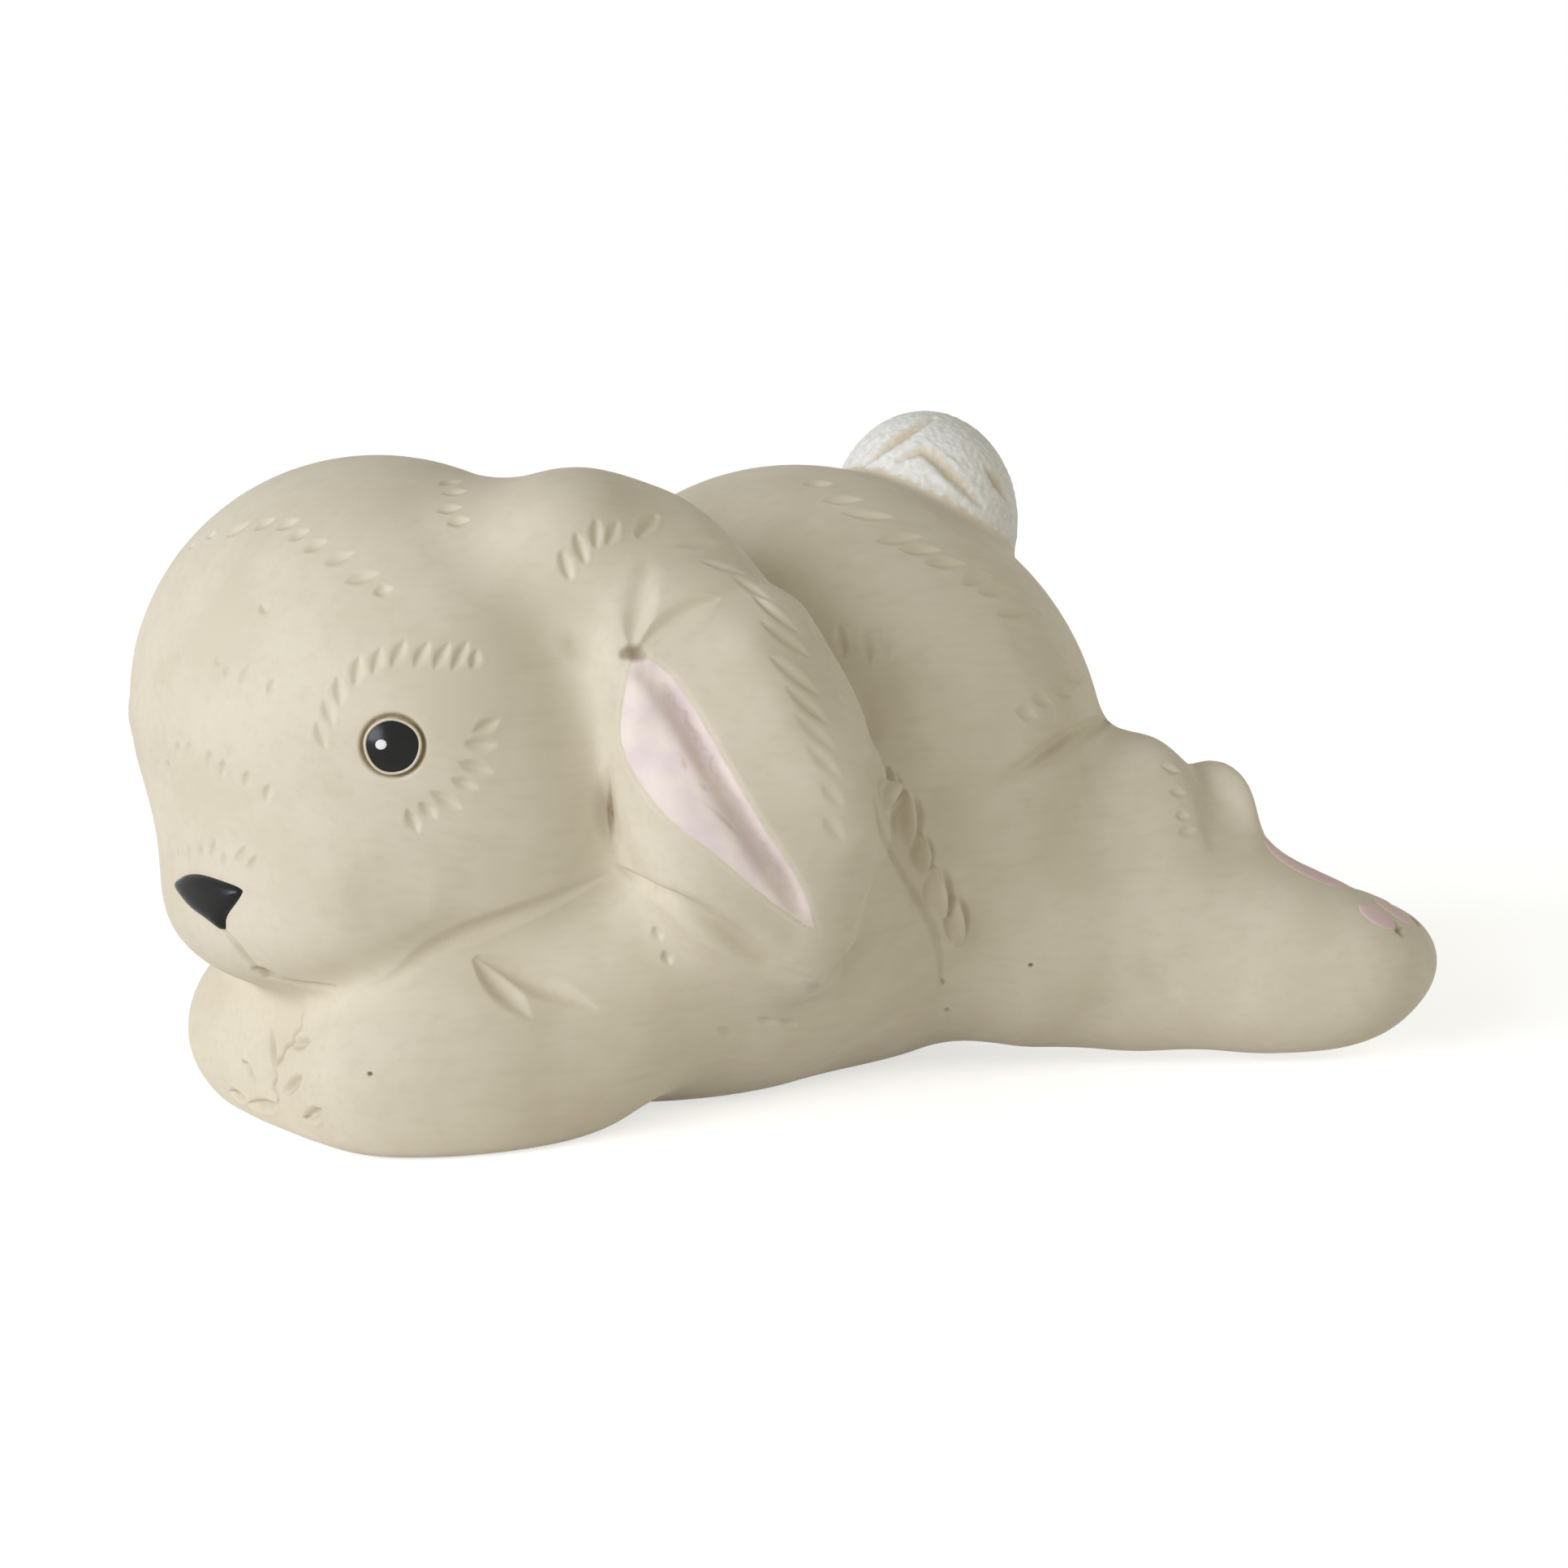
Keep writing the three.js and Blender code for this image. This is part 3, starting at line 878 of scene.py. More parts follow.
@dataclass(frozen=True)
class Leaf:
    """The leaf-shaped bed of an ear's lining, between two borders in the photograph.

    A valley runs inside the back border, and the ear swells to a ridge behind it.
    """

    camera: PhotoCamera = PhotoCamera()
    front: tuple[Pixel, ...] = (
        (778, 802),
        (757, 895),
        (772, 950),
        (824, 1017),
        (870, 1046),
        (934, 1103),
        (981, 1137),
        (1010, 1153),
    )
    back: tuple[Pixel, ...] = (
        (778, 802),
        (809, 812),
        (838, 839),
        (863, 878),
        (909, 960),
        (952, 1031),
        (993, 1090),
        (1010, 1153),
    )
    gap: float = 20.0
    ridge: float = 2.7
    ridge_behind: float = 12.0
    ridge_half: float = 8.0
    valley: float = 2.0
    valley_inside: float = 2.2
    valley_half: float = 1.4
    swell: float = 0.5
    swell_edge: float = 2.5
    fade: float = 0.18
    reach: float = 140.0

    @cached_property
    def borders(self) -> tuple[Array, Array]:
        """Gives points along the front and the back border."""
        return dense(self.front, self.gap), dense(self.back, self.gap)

    def near(self, pixels: Array) -> Array:
        """Finds the pixels that the leaf, its ridge or their edges may reach.

        Args:
            pixels: Places in the photograph.

        Returns:
            Whether each pixel is near.
        """
        ring = np.concatenate(self.borders)
        inside = (pixels > ring.min(0) - self.reach) & (pixels < ring.max(0) + self.reach)
        return inside.all(axis=-1)

    def within(self, pixels: Array) -> Array:
        """Finds the pixels that lie between the borders.

        Args:
            pixels: Places in the photograph.

        Returns:
            Whether each pixel lies between them.
        """
        front, back = self.borders
        ring = np.concatenate([front, back[::-1]])
        low, high = ring, np.roll(ring, -1, axis=0)
        x, y = pixels[:, :1], pixels[:, 1:]
        cross = (low[:, 1] > y) != (high[:, 1] > y)
        rise = high[:, 1] - low[:, 1]
        at = low[:, 0] + (y - low[:, 1]) * (high[:, 0] - low[:, 0]) / np.where(rise == 0.0, 1.0, rise)
        return (cross & (x < at)).sum(1) % 2 == 1

    def inside(self, points: Array) -> Array:
        """Gives how far inside the borders points appear.

        Args:
            points: Places on the left ear.

        Returns:
            The distance from the nearest border in millimetres, below 0 outside.
        """
        pixels, span = self.camera.pixels(points)
        found = np.full(len(points), -self.reach * span.mean())
        near = self.near(pixels)
        spots = pixels[near]
        gap = np.minimum(*(nearest(border, spots)[2] for border in self.borders))
        found[near] = np.where(self.within(spots), gap, -gap) * span[near]
        return found

    def rise(self, points: Array) -> Array:
        """Gives how far the valley, the ridge and the lining's swell move the ear's face.

        Args:
            points: Places on the left ear.

        Returns:
            The rise of each place.
        """
        pixels, span = self.camera.pixels(points)
        near = self.near(pixels)
        found = np.zeros(len(points))
        if not near.any():
            return found
        spots, scale = pixels[near], span[near]
        front, back = self.borders
        within = self.within(spots)
        best, _, gap = nearest(back, spots)
        ahead = spots - back[best]
        way = np.diff(back, axis=0)[best]
        left = np.sign(way[:, 0] * ahead[:, 1] - way[:, 1] * ahead[:, 0])
        aside = gap * scale * left
        chord = back[-1] - back[0]
        along = np.clip((spots - back[0]) @ chord / (chord @ chord), 0.0, 1.0)
        room = smooth(along / self.fade) * smooth((1.0 - along) / self.fade)
        ridge = self.ridge * np.exp(-(((aside + self.ridge_behind) / self.ridge_half) ** 2))
        valley = self.valley * np.exp(-(((aside - self.valley_inside) / self.valley_half) ** 2))
        edge = nearest(front, spots)[2] * scale
        swell = self.swell * within * smooth(edge / self.swell_edge) * smooth(aside / self.swell_edge)
        found[near] = room * (ridge - valley * smooth(edge / self.swell_edge)) + swell * room
        return found


@dataclass(frozen=True)
class Ear(Casting):
    """A hanging ear, with a lining in its outer face."""

    soft: float = 10.0
    joint: float = 6.0
    root: Form = Form((-53.7, -21.0, 82.9), (14.0, 11.0, 7.5), (0.45, -0.85, 0.25), (-0.1, -0.2, 1.0))
    bend: Form = Form((-39.5, -33.0, 76.0), (17.0, 15.4, 7.0), (0.35, -0.55, -0.8), (-0.15, -0.8, 0.6))
    flap: Form = Form((-30.8, -42.0, 53.5), (23.2, 18.6, 6.5), (0.34, -0.12, -1.0), (-0.12, -1.0, 0.1))
    end: Form = Form((-28.0, -43.5, 40.0), (17.0, 14.0, 5.8), (0.45, 0.0, -0.9), (-0.1, -1.0, 0.0))
    tip: Form = Form((-21.5, -42.5, 27.5), (7.0, 4.5, 4.0), (0.45, 0.0, -0.9), (-0.1, -1.0, 0.0))
    leaf: Leaf = Leaf()
    outer_edge: float = 3.0
    lining_fade: float = 0.8
    root_fur: Marks = Marks(
        ROUND_TICK,
        (
            ((693, 684), (701, 709)),
            ((711, 662), (720, 688)),
            ((735, 644), (734, 669)),
            ((760, 646), (750, 665)),
            ((808, 637), (787, 658)),
        ),
    )
    edge_fur: Marks = Marks(
        EDGE_STROKE,
        (
            ((926, 732), (985, 780)),
            ((936, 764), (1000, 810)),
            ((948, 808), (1012, 858)),
            ((968, 846), (1022, 892)),
        ),
    )
    faint_edge_fur: Marks = Marks(
        FAINT_STROKE,
        (
            ((834, 672), (886, 668)),
            ((862, 690), (920, 708)),
            ((902, 710), (950, 740)),
            ((980, 880), (1030, 925)),
            ((994, 918), (1036, 958)),
            ((1012, 966), (1040, 994)),
            ((1014, 1006), (1040, 1036)),
        ),
    )
    folds: Marks = Marks(
        SOFT_FOLD,
        (((800, 685), (788, 740), (778, 800)), ((698, 776), (718, 802), (752, 817))),
    )
    side_fold: Marks = Marks(SIDE_FOLD, (((884, 738), (852, 751), (818, 772), (786, 801)),))
    lining_pit: Marks = Marks(PIT, (((770, 806), (780, 803), (792, 808)),))
    hem: Marks = Marks(
        HEM,
        (((760, 1066), (809, 1101), (868, 1135), (910, 1161), (952, 1193), (1008, 1221)),),
    )
    tip_edge: Marks = Marks(SLIGHT_HEM, (((1008, 1222), (1034, 1195), (1062, 1168), (1073, 1110)),))
    # Painted shade along the crease between the ear and the cheek.
    cheek_crease: Marks = Marks(CREASE, (((752, 935), (749, 990), (753, 1055)),))
    cheek_line: Marks = Marks(DARK_LINE, (((751, 952), (752, 990), (755, 1042)),))
    lining_hairs: Marks = Marks(
        HAIR,
        (((859, 963), (875, 977)), ((861, 983), (890, 1008), (919, 1039)), ((840, 930), (846, 952))),
        Repeat.NONE,
    )

    def outer(self, points: Array) -> tuple[Array, Array]:
        """Finds the ear's outer face.

        Args:
            points: Places near the ear.

        Returns:
            The places as they are on the left side, and 1 on the outer face or 0 on the inner one.
        """
        left = points * MIRROR if self.side is Side.RIGHT else points
        return left, smooth((left - np.array(self.flap.at)) @ self.flap.axes[2] / self.outer_edge)

    def distance(self, points: Array) -> Array:
        """Gives about how far outside the ear each point is."""
        left, outer = self.outer(points)
        return super().distance(points) - self.leaf.rise(left) * outer

    def inside(self, points: Array) -> Array:
        """Gives how far inside the lining's borders each point is, below 0 outside."""
        left, outer = self.outer(points)
        return np.where(outer > 0.5, self.leaf.inside(left), -self.leaf.reach)


@dataclass(frozen=True)
class Tail(Casting):
    """The round tail."""

    joint: float = 2.0
    ball: Form = Form((34.2, 0.0, 82.6), (14.6, 15.0, 17.4))
    curls: Marks = Marks(
        CURL,
        (
            ((1070, 568), (1105, 541), (1150, 515)),
            ((1106, 567), (1124, 558), (1139, 555), (1164, 577), (1210, 624)),
            ((1215, 575), (1240, 614)),
        ),
        Repeat.NONE,
    )
    dab_size: float = 0.9
    dab_height: float = 0.1
    coat_edge: float = 2.0
    coat_mean: float = 0.85
    coat_spread: float = 0.5

    def dabs(self, points: Array) -> Array:
        """Gives how far the dabbed paint stands out at each point, below 0 where it is thin."""
        waves = [noise.fractal(Vector(point), 1.0, 2.0, 3) for point in points / self.dab_size]
        return self.dab_height * np.array(waves)


@dataclass
class Sculpture:
    """All castings under one skin of clay."""

    camera: PhotoCamera
    ground_edge: float = 2.0
    paw_joint: float = 12.0
    least_steep: float = 0.2
    settle_reach: float = 2.0
    march_room: float = 130.0
    march_steps: int = 70
    march_share: float = 0.8
    march_back: float = 3.0
    march_ahead: float = 15.0
    seat_steps: int = 6
    torso: Torso = field(default_factory=Torso)
    head: Head = field(default_factory=Head)
    tail: Tail = field(default_factory=Tail)
    forelegs: list[Foreleg] = field(default_factory=lambda: [Foreleg(s) for s in Side])
    hind_legs: list[HindLeg] = field(default_factory=lambda: [HindLeg(s) for s in Side])
    ears: list[Ear] = field(default_factory=lambda: [Ear(s) for s in Side])

    def castings(self) -> list[Casting]:
        """Gives every casting, the torso first."""
        return [self.torso, self.head, *self.forelegs, *self.hind_legs, *self.ears, self.tail]

    def distance(self, points: Array) -> Array:
        """Gives about how far outside the clay points are.

        Args:
            points: The points to measure.

        Returns:
            The distance of each point, below 0 inside.
        """
        found = self.torso.distance(points)
        for leg in self.hind_legs:
            found = melt(found, leg.distance(points), leg.joint)
        found = melt(found, self.head.distance(points), self.head.joint)
        paws = melt(*(leg.distance(points) for leg in self.forelegs), self.paw_joint)
        found = melt(found, paws, self.forelegs[0].joint)
        for casting in (*self.ears, self.tail):
            found = melt(found, casting.distance(points), casting.joint)
        return carve(found, -points[..., 2], self.ground_edge)

    def slope(self, points: Array, step: float = 0.05) -> Array:
        """Gives the way out of the clay at each point, as long as the distance is steep."""
        count = len(PROBES)
        return sum(p * self.distance(points + p * step)[:, None] for p in PROBES) / (count * step)

    def bulge(self, points: Array, step: float = 1.3) -> Array:
        """Gives how much the clay bulges round each point, below 0 in a hollow."""
        around = sum(self.distance(points + p * step) for p in PROBES) / len(PROBES)
        return around - self.distance(points)

    def settle(self, points: Array, steps: int = 3) -> Array:
        """Moves points onto the skin.

        Args:
            points: Places near the skin.
            steps: How often each place is mended.

        Returns:
            The places on the skin.
        """
        for _ in range(steps):
            slope = self.slope(points)
            steep = np.maximum((slope * slope).sum(1), self.least_steep)
            away = np.clip(self.distance(points), -self.settle_reach, self.settle_reach)
            points = points - slope * (away / steep)[:, None]
        return points

    def seat(self, node: str) -> tuple[Array, Array]:
        """Finds where a piece of the frame sits on the skin.

        Args:
            node: The piece's node.

        Returns:
            The place, and the way out of the clay there.
        """
        low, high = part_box(node)
        place = self.settle(from_frame(np.array([(low + high) / 2])), self.seat_steps)
        return place[0], unit(self.slope(place))[0]

    def cast(self, pixels: Sequence[Pixel]) -> Array:
        """Finds where pixels of the photograph lie on the skin.

        Args:
            pixels: Places in the photograph.

        Returns:
            The places on the skin, the nearest ones where a pixel lies just off it.
        """
        start, ways = self.camera.place(), self.camera.rays(pixels)
        gone = np.full(len(ways), self.camera.distance - self.march_room)
        least, best = np.full(len(ways), np.inf), gone.copy()
        for _ in range(self.march_steps):
            away = self.distance(start + ways * gone[:, None])
            closer = away < least
            least[closer], best[closer] = away[closer], gone[closer]
            gone = gone + self.march_share * np.clip(away, -self.march_back, self.march_ahead)
        return self.settle(start + ways * best[:, None])

    def traces(self) -> list[Trace]:
        """Lays every tool mark on the clay, and repeats it on the side that the photograph doesn't show.

        Returns:
            The marks as they lie.
        """
        groups = [marks for casting in self.castings() for marks in casting.marks()]
        drawn = [(marks, dense(path)) for marks in groups for path in marks.paths]
        ends = np.cumsum([len(pixels) for _, pixels in drawn])[:-1]
        seen = np.split(self.cast(np.concatenate([pixels for _, pixels in drawn])), ends)
        laid = [(marks.tool, points) for (marks, _), points in zip(drawn, seen)]
        for (marks, _), points in zip(drawn, seen):
            if marks.repeat is Repeat.HEAD:
                laid.append((marks.tool, self.head.across(points)))
            elif marks.repeat is Repeat.BODY:
                laid.append((marks.tool, points * MIRROR))
        ends = np.cumsum([len(points) for _, points in laid])[:-1]
        points = self.settle(np.concatenate([points for _, points in laid]))
        spots = zip(laid, np.split(points, ends), np.split(unit(self.slope(points)), ends))
        return [Trace(tool, place, normal) for (tool, _), place, normal in spots]


@dataclass
class Socket:
    """The round seat of an eye in the head."""

    node: str
    place: Array
    normal: Array
    seat: float = 3.5
    edge: float = 5.4
    groove: float = 4.0
    groove_half: float = 0.55
    depth: float = 0.5
    seat_share: float = 1.6
    wash: float = 0.75

    def press(self, points: Array) -> tuple[Array, Array]:
        """Gives how the seat moves and darkens the clay.

        Args:
            points: Places on the skin.

        Returns:
            The rise of the clay, and how much painted shade darkens the groove and the seat.
        """
        ahead = points - self.place
        height = ahead @ self.normal
        aside = np.linalg.norm(ahead - height[:, None] * self.normal, axis=1)
        here = (np.abs(height) < self.edge) & (aside < self.edge)
        bowl = np.maximum(1.0 - ((aside - self.groove) / self.groove_half) ** 2, 0.0) ** 2
        bowl = np.where(aside < self.seat, self.seat_share, bowl) * here
        # Darkens the groove round the seat and the seat itself: painted shade.
        return -self.depth * bowl, self.wash * np.minimum(bowl, 1.0)


@dataclass
class Skin:
    """The clay's skin as one mesh, marked with the tools, darkened by thin paint and painted shade, and
    with a painted highlight on its convex edges.
    """

    sculpture: Sculpture
    sockets: list[Socket]
    voxel: float = 1.2
    outset: float = 2.0
    ball_rounds: int = 4
    relaxings: int = 7
    relax_share: float = 0.5
    settled_gap: float = 0.003
    least_facing: float = 0.3
    margins: tuple[float, ...] = (1.4, 0.5)
    broad_mark: float = 5.0
    lining_rise: float = 0.05
    lining_step: float = 0.4
    lining_wall: float = 0.6
    lining_lip: float = 0.15
    lining_bed: float = 0.9
    lining_rim: float = 0.5
    cavity_wash: float = 0.28
    edge_coat: float = 2.0
    edge_bulge: float = 0.12
    apex_depth: float = 2.0
    skirt: float = 1.0
    mesh: bpy.types.Mesh = field(init=False)
    starts: Array = field(init=False)
    sizes: Array = field(init=False)
    corners: Array = field(init=False)
    owner: Array = field(init=False)
    lined: Array = field(init=False)
    inset: Array = field(init=False)

    def build(self) -> None:
        """Makes the mesh, presses the marks into it and paints it."""
        self.mesh = self.base_mesh()
        points = self.sculpture.settle(self.points())
        for _ in range(self.relaxings):
            relaxed = points + self.relax_share * (self.around(points) - points)
            points = self.sculpture.settle(relaxed, 1)
        self.move(self.sculpture.settle(points, 1))
        traces = self.sculpture.traces()
        log.info("skin: %d points, %d tool marks", len(self.mesh.vertices), len(traces))
        for margin in self.margins:
            self.halve(self.marked(traces, margin))
        self.press(traces)
        self.label()
        log.info("skin: %d points after marking", len(self.mesh.vertices))

    def base_mesh(self) -> bpy.types.Mesh:
        """Makes an even mesh of quads that lies close to the skin.

        Returns:
            The mesh, in millimetres.
        """
        shell = bmesh.new()
        for casting in self.sculpture.castings():
            for form in casting.forms:
                wide = replace(form, half=tuple(half + self.outset for half in form.half)).matrix()
                rounds = self.ball_rounds
                bmesh.ops.create_icosphere(shell, subdivisions=rounds, radius=1.0, matrix=wide)
        holder = bpy.data.objects.new("forms", take_mesh(shell, "forms"))
        bpy.context.scene.collection.objects.link(holder)
        remesh = holder.modifiers.new("voxels", "REMESH")
        remesh.mode = "VOXEL"
        remesh.voxel_size = self.voxel
        graph = bpy.context.evaluated_depsgraph_get()
        even = bpy.data.meshes.new_from_object(holder.evaluated_get(graph))
        bpy.data.objects.remove(holder)
        return even

    def points(self) -> Array:
        """Gives the mesh's points."""
        return fetch(self.mesh.vertices, "co", np.float32, 3).astype(float)

    def move(self, points: Array) -> None:
        """Moves the mesh's points."""
        self.mesh.vertices.foreach_set("co", points.astype(np.float32).ravel())
        self.mesh.update()

    def normals(self) -> Array:
        """Gives the way out of the mesh at its points."""
        return fetch(self.mesh.vertex_normals, "vector", np.float32, 3).astype(float)

    def around(self, values: Array) -> Array:
        """Gives the mean of each point's neighbours.

        Args:
            values: A row, or a number, for each point.

        Returns:
            The means, in the same shape.
        """
        first, second = fetch(self.mesh.edges, "vertices", np.int32, 2).T
        count = len(self.mesh.vertices)
        links = np.bincount(first, minlength=count) + np.bincount(second, minlength=count)
        columns = values.reshape(count, -1).T
        sums = [
            np.bincount(first, column[second], count) + np.bincount(second, column[first], count)
            for column in columns
        ]
        return (np.stack(sums, axis=1) / np.maximum(links, 1)[:, None]).reshape(values.shape)

    def marked(self, traces: Iterable[Trace], margin: float) -> Array:
        """Finds the points in tool marks, eye sockets, lining borders and the tail.

        Args:
            traces: The tool marks.
            margin: How far round each of them is searched as well.

        Returns:
            Whether each point of the mesh lies there.
        """
        points = self.points()
        found = np.zeros(len(points), bool)
        for trace in traces:
            if trace.tool.width > self.broad_mark:
                continue
            near = trace.near(points, margin)
            aside = trace.measure(points[near])[1]
            found[near[aside < trace.tool.width / 2 * trace.lip_reach + margin]] = True
        for socket in self.sockets:
            found |= np.linalg.norm(points - socket.place, axis=1) < socket.edge + margin
        for ear in self.sculpture.ears:
            found |= (np.abs(ear.inside(points)) < margin) & (ear.distance(points) < self.voxel)
        return found | self.on_tail(points)

    def on_tail(self, points: Array) -> Array:
        """Gives which points belong to the tail."""
        away = self.sculpture.tail.distance(points)
        return (away < self.voxel) & (away < self.sculpture.torso.distance(points))

    def halve(self, chosen: Array) -> None:
        """Halves the mesh's edges at some points, and settles the new points.

        Args:
            chosen: Whether each point of the mesh is one of them.
        """
        shell = bmesh.new()
        shell.from_mesh(self.mesh)
        split = [e for e in shell.edges if chosen[e.verts[0].index] or chosen[e.verts[1].index]]
        bmesh.ops.subdivide_edges(shell, edges=split, cuts=1, use_grid_fill=True)
        shell.to_mesh(self.mesh)
        shell.free()
        points = self.points()
        off = np.abs(self.sculpture.distance(points)) > self.settled_gap
        points[off] = self.sculpture.settle(points[off], 2)
        self.move(points)

    def layout(self) -> None:
        """Notes the corners of each face of the mesh."""
        self.starts = fetch(self.mesh.polygons, "loop_start", np.int32)
        self.sizes = fetch(self.mesh.polygons, "loop_total", np.int32)
        self.corners = fetch(self.mesh.loops, "vertex_index", np.int32)

    def press(self, traces: Iterable[Trace]) -> None:
        """Presses the tool marks and the eye sockets into the clay, darkens them and the hollows with
        thin paint and painted shade, and keeps a painted highlight for the convex edges.

        Args:
            traces: The tool marks.
        """
        points, normals = self.points(), self.normals()
        dent, swell, wash = np.zeros((3, len(points)))
        for trace in traces:
            near = trace.near(points, 0.0)
            share, aside, way = trace.measure(points[near])
            rise, settled = trace.press(share, aside)
            facing = (normals[near] * way).sum(1) > self.least_facing
            dent[near] = np.minimum(dent[near], rise * facing)
            swell[near] = np.maximum(swell[near], rise * facing)
            wash[near] = np.maximum(wash[near], settled * facing)
        for socket in self.sockets:
            rise, settled = socket.press(points)
            dent += rise
            wash = np.maximum(wash, settled)
        tail = self.on_tail(points)
        dent[tail] += self.sculpture.tail.dabs(points[tail])
        bulge = self.sculpture.bulge(points)
        self.move(points + normals * (dent + swell)[:, None])
        # Darkens the clay in its hollows: painted shade.
        wash = wash + self.cavity_wash * np.maximum(-bulge, 0.0)
        keep(self.mesh, WASH_AND_SHADE, np.clip(wash, 0.0, 1.0))
        # Pales the clay's convex edges: a painted highlight.
        keep(self.mesh, COAT_AND_HIGHLIGHT, np.clip(self.edge_coat * (bulge - self.edge_bulge), 0.0, 1.0))

    def kept(self, name: str) -> Array:
        """Gives the number that is kept for each point of the mesh."""
        return fetch(self.mesh.attributes[name].data, "value", np.float32).astype(float)

    def label(self) -> None:
        """Finds which casting, or ear lining, each face of the mesh belongs to."""
        points = self.points()
        castings = self.sculpture.castings()
        fields = np.stack([c.distance(points) for c in castings], axis=1)
        closest = fields.argmin(1)
        self.layout()
        mean = np.add.reduceat(fields[self.corners], self.starts) / self.sizes[:, None]
        self.owner = mean.argmin(1)
        self.lined = np.zeros(len(self.sizes), bool)
        self.inset = np.zeros(len(points))
        # Starts from the painted highlight on convex edges, which the linings' and the tail's own paint
        # covers.
        cover = self.kept(COAT_AND_HIGHLIGHT)
        for ear in self.sculpture.ears:
            number = castings.index(ear)
            inside = ear.inside(points)
            middle = np.add.reduceat(inside[self.corners], self.starts) / self.sizes
            self.lined |= (self.owner == number) & (middle > 0.0)
            bed = (closest == number) & (inside > 0.0)
            self.inset[bed] = inside[bed]
            cover[bed] = np.clip(inside[bed] / ear.lining_fade, 0.0, 1.0)
            rim = (closest == number) & (np.abs(inside + self.lining_rim) < self.lining_rim)
            cover[rim] = 1.0 + inside[rim] / (2.0 * self.lining_rim)
        tail = self.sculpture.tail
        white = closest == castings.index(tail)
        thick = tail.coat_mean + tail.coat_spread * (tail.dabs(points[white]) / tail.dab_height)
        off_torso = fields[white, castings.index(self.sculpture.torso)]
        cover[white] = np.clip(off_torso / tail.coat_edge, 0.0, 1.0) * np.clip(thick, 0.0, 1.0)
        keep(self.mesh, COAT_AND_HIGHLIGHT, cover)

    def faces(self, chosen: Array) -> list[Array]:
        """Gives the corners of the chosen faces."""
        numbers = np.flatnonzero(chosen)
        return [self.corners[self.starts[n] : self.starts[n] + self.sizes[n]] for n in numbers]

    def closed(
        self, name: str, faces: list[Array], points: Array, under: Array | None = None
    ) -> bpy.types.Mesh:
        """Makes a closed mesh of some faces of the skin.

        Args:
            name: The mesh's name.
            faces: The corners of each face, as numbers of the skin's points.
            points: The skin's points, which may be moved.
            under: The points of a second face below the first. Without it, each open edge is
                closed by a skirt and a fan inside the clay.

        Returns:
            The mesh, in the frame, with the skin's paint and normals.
        """
        normals = self.normals()
        used = np.unique(np.concatenate(faces))
        place = np.full(len(points), -1)
        place[used] = np.arange(len(used))
        made = [place[face].tolist() for face in faces]
        coords, source, facing = [points[used]], [used], [normals[used]]
        total = len(used)
        open_edges = self.open_edges(made)
        if under is not None:
            made += [[v + total for v in reversed(face)] for face in made]
            made += [[b, a, a + total, b + total] for a, b in open_edges]
            coords.append(under[used])
            source.append(used)
            facing.append(-normals[used])
        else:
            for group in self.groups(open_edges):
                ring = sorted({a for a, _ in group})
                below = {a: total + n for n, a in enumerate(ring)}
                apex = total + len(ring)
                inward = unit(normals[used][ring])
                sunk = coords[0][ring] - self.skirt * inward
                middle = sunk.mean(0) - self.apex_depth * unit(inward.mean(0))
                coords.append(np.concatenate([sunk, middle[None]]))
                source.append(used[[*ring, ring[0]]])
                facing.append(-np.concatenate([inward, unit(inward.mean(0))[None]]))
                made += [[b, a, below[a], below[b]] for a, b in group]
                made += [[below[b], below[a], apex] for a, b in group]
                total = apex + 1
        mesh = bpy.data.meshes.new(name)
        mesh.from_pydata(to_frame(np.concatenate(coords)).tolist(), [], made)
        for layer in (WASH_AND_SHADE, COAT_AND_HIGHLIGHT):
            keep(mesh, layer, self.kept(layer)[np.concatenate(source)])
        mesh.shade_smooth()
        mesh.normals_split_custom_set_from_vertices(np.concatenate(facing).tolist())
        return mesh

    @staticmethod
    def open_edges(faces: list[list[int]]) -> list[tuple[int, int]]:
        """Finds the edges that only one face has.

        Args:
            faces: The corners of each face.

        Returns:
            The two ends of each such edge, in its face's direction.
        """
        ahead = np.concatenate([np.array(face, np.int64) for face in faces])
        after = np.concatenate([np.array(face[1:] + face[:1], np.int64) for face in faces])
        size = ahead.max() + 1
        lone = ~np.isin(ahead * size + after, after * size + ahead)
        return [(int(a), int(b)) for a, b in zip(ahead[lone], after[lone])]

    @staticmethod
    def groups(edges: list[tuple[int, int]]) -> list[list[tuple[int, int]]]:
        """Sorts edges into groups that hang together.

        Args:
            edges: The two ends of each edge.

        Returns:
            The edges of each group.
        """
        home: dict[int, int] = {}

        def root(point: int) -> int:
            """Finds the point that stands for a group.

            Args:
                point: Any point of the group.

            Returns:
                The point that stands for it.
            """
            while home.setdefault(point, point) != point:
                point = home[point]
            return point

        for a, b in edges:
            home[root(a)] = root(b)
        found: dict[int, list[tuple[int, int]]] = {}
        for edge in edges:
            found.setdefault(root(edge[0]), []).append(edge)
        return list(found.values())

    def deep(self) -> Array:
        """Gives 1 at points well inside a lining's border, and 0 near it and outside."""
        return np.clip(self.inset / self.lining_step - 1.0, 0.0, 1.0)

    def casting_mesh(self, casting: Casting) -> bpy.types.Mesh:
        """Makes the mesh of one casting.

        Args:
            casting: The casting.

        Returns:
            The mesh, with a bed for the lining where it is an ear.
        """
        number = self.sculpture.castings().index(casting)
        points = self.points()
        if isinstance(casting, Ear):
            points = points - self.normals() * (self.lining_bed * self.deep())[:, None]
        return self.closed(casting.name(), self.faces(self.owner == number), points)

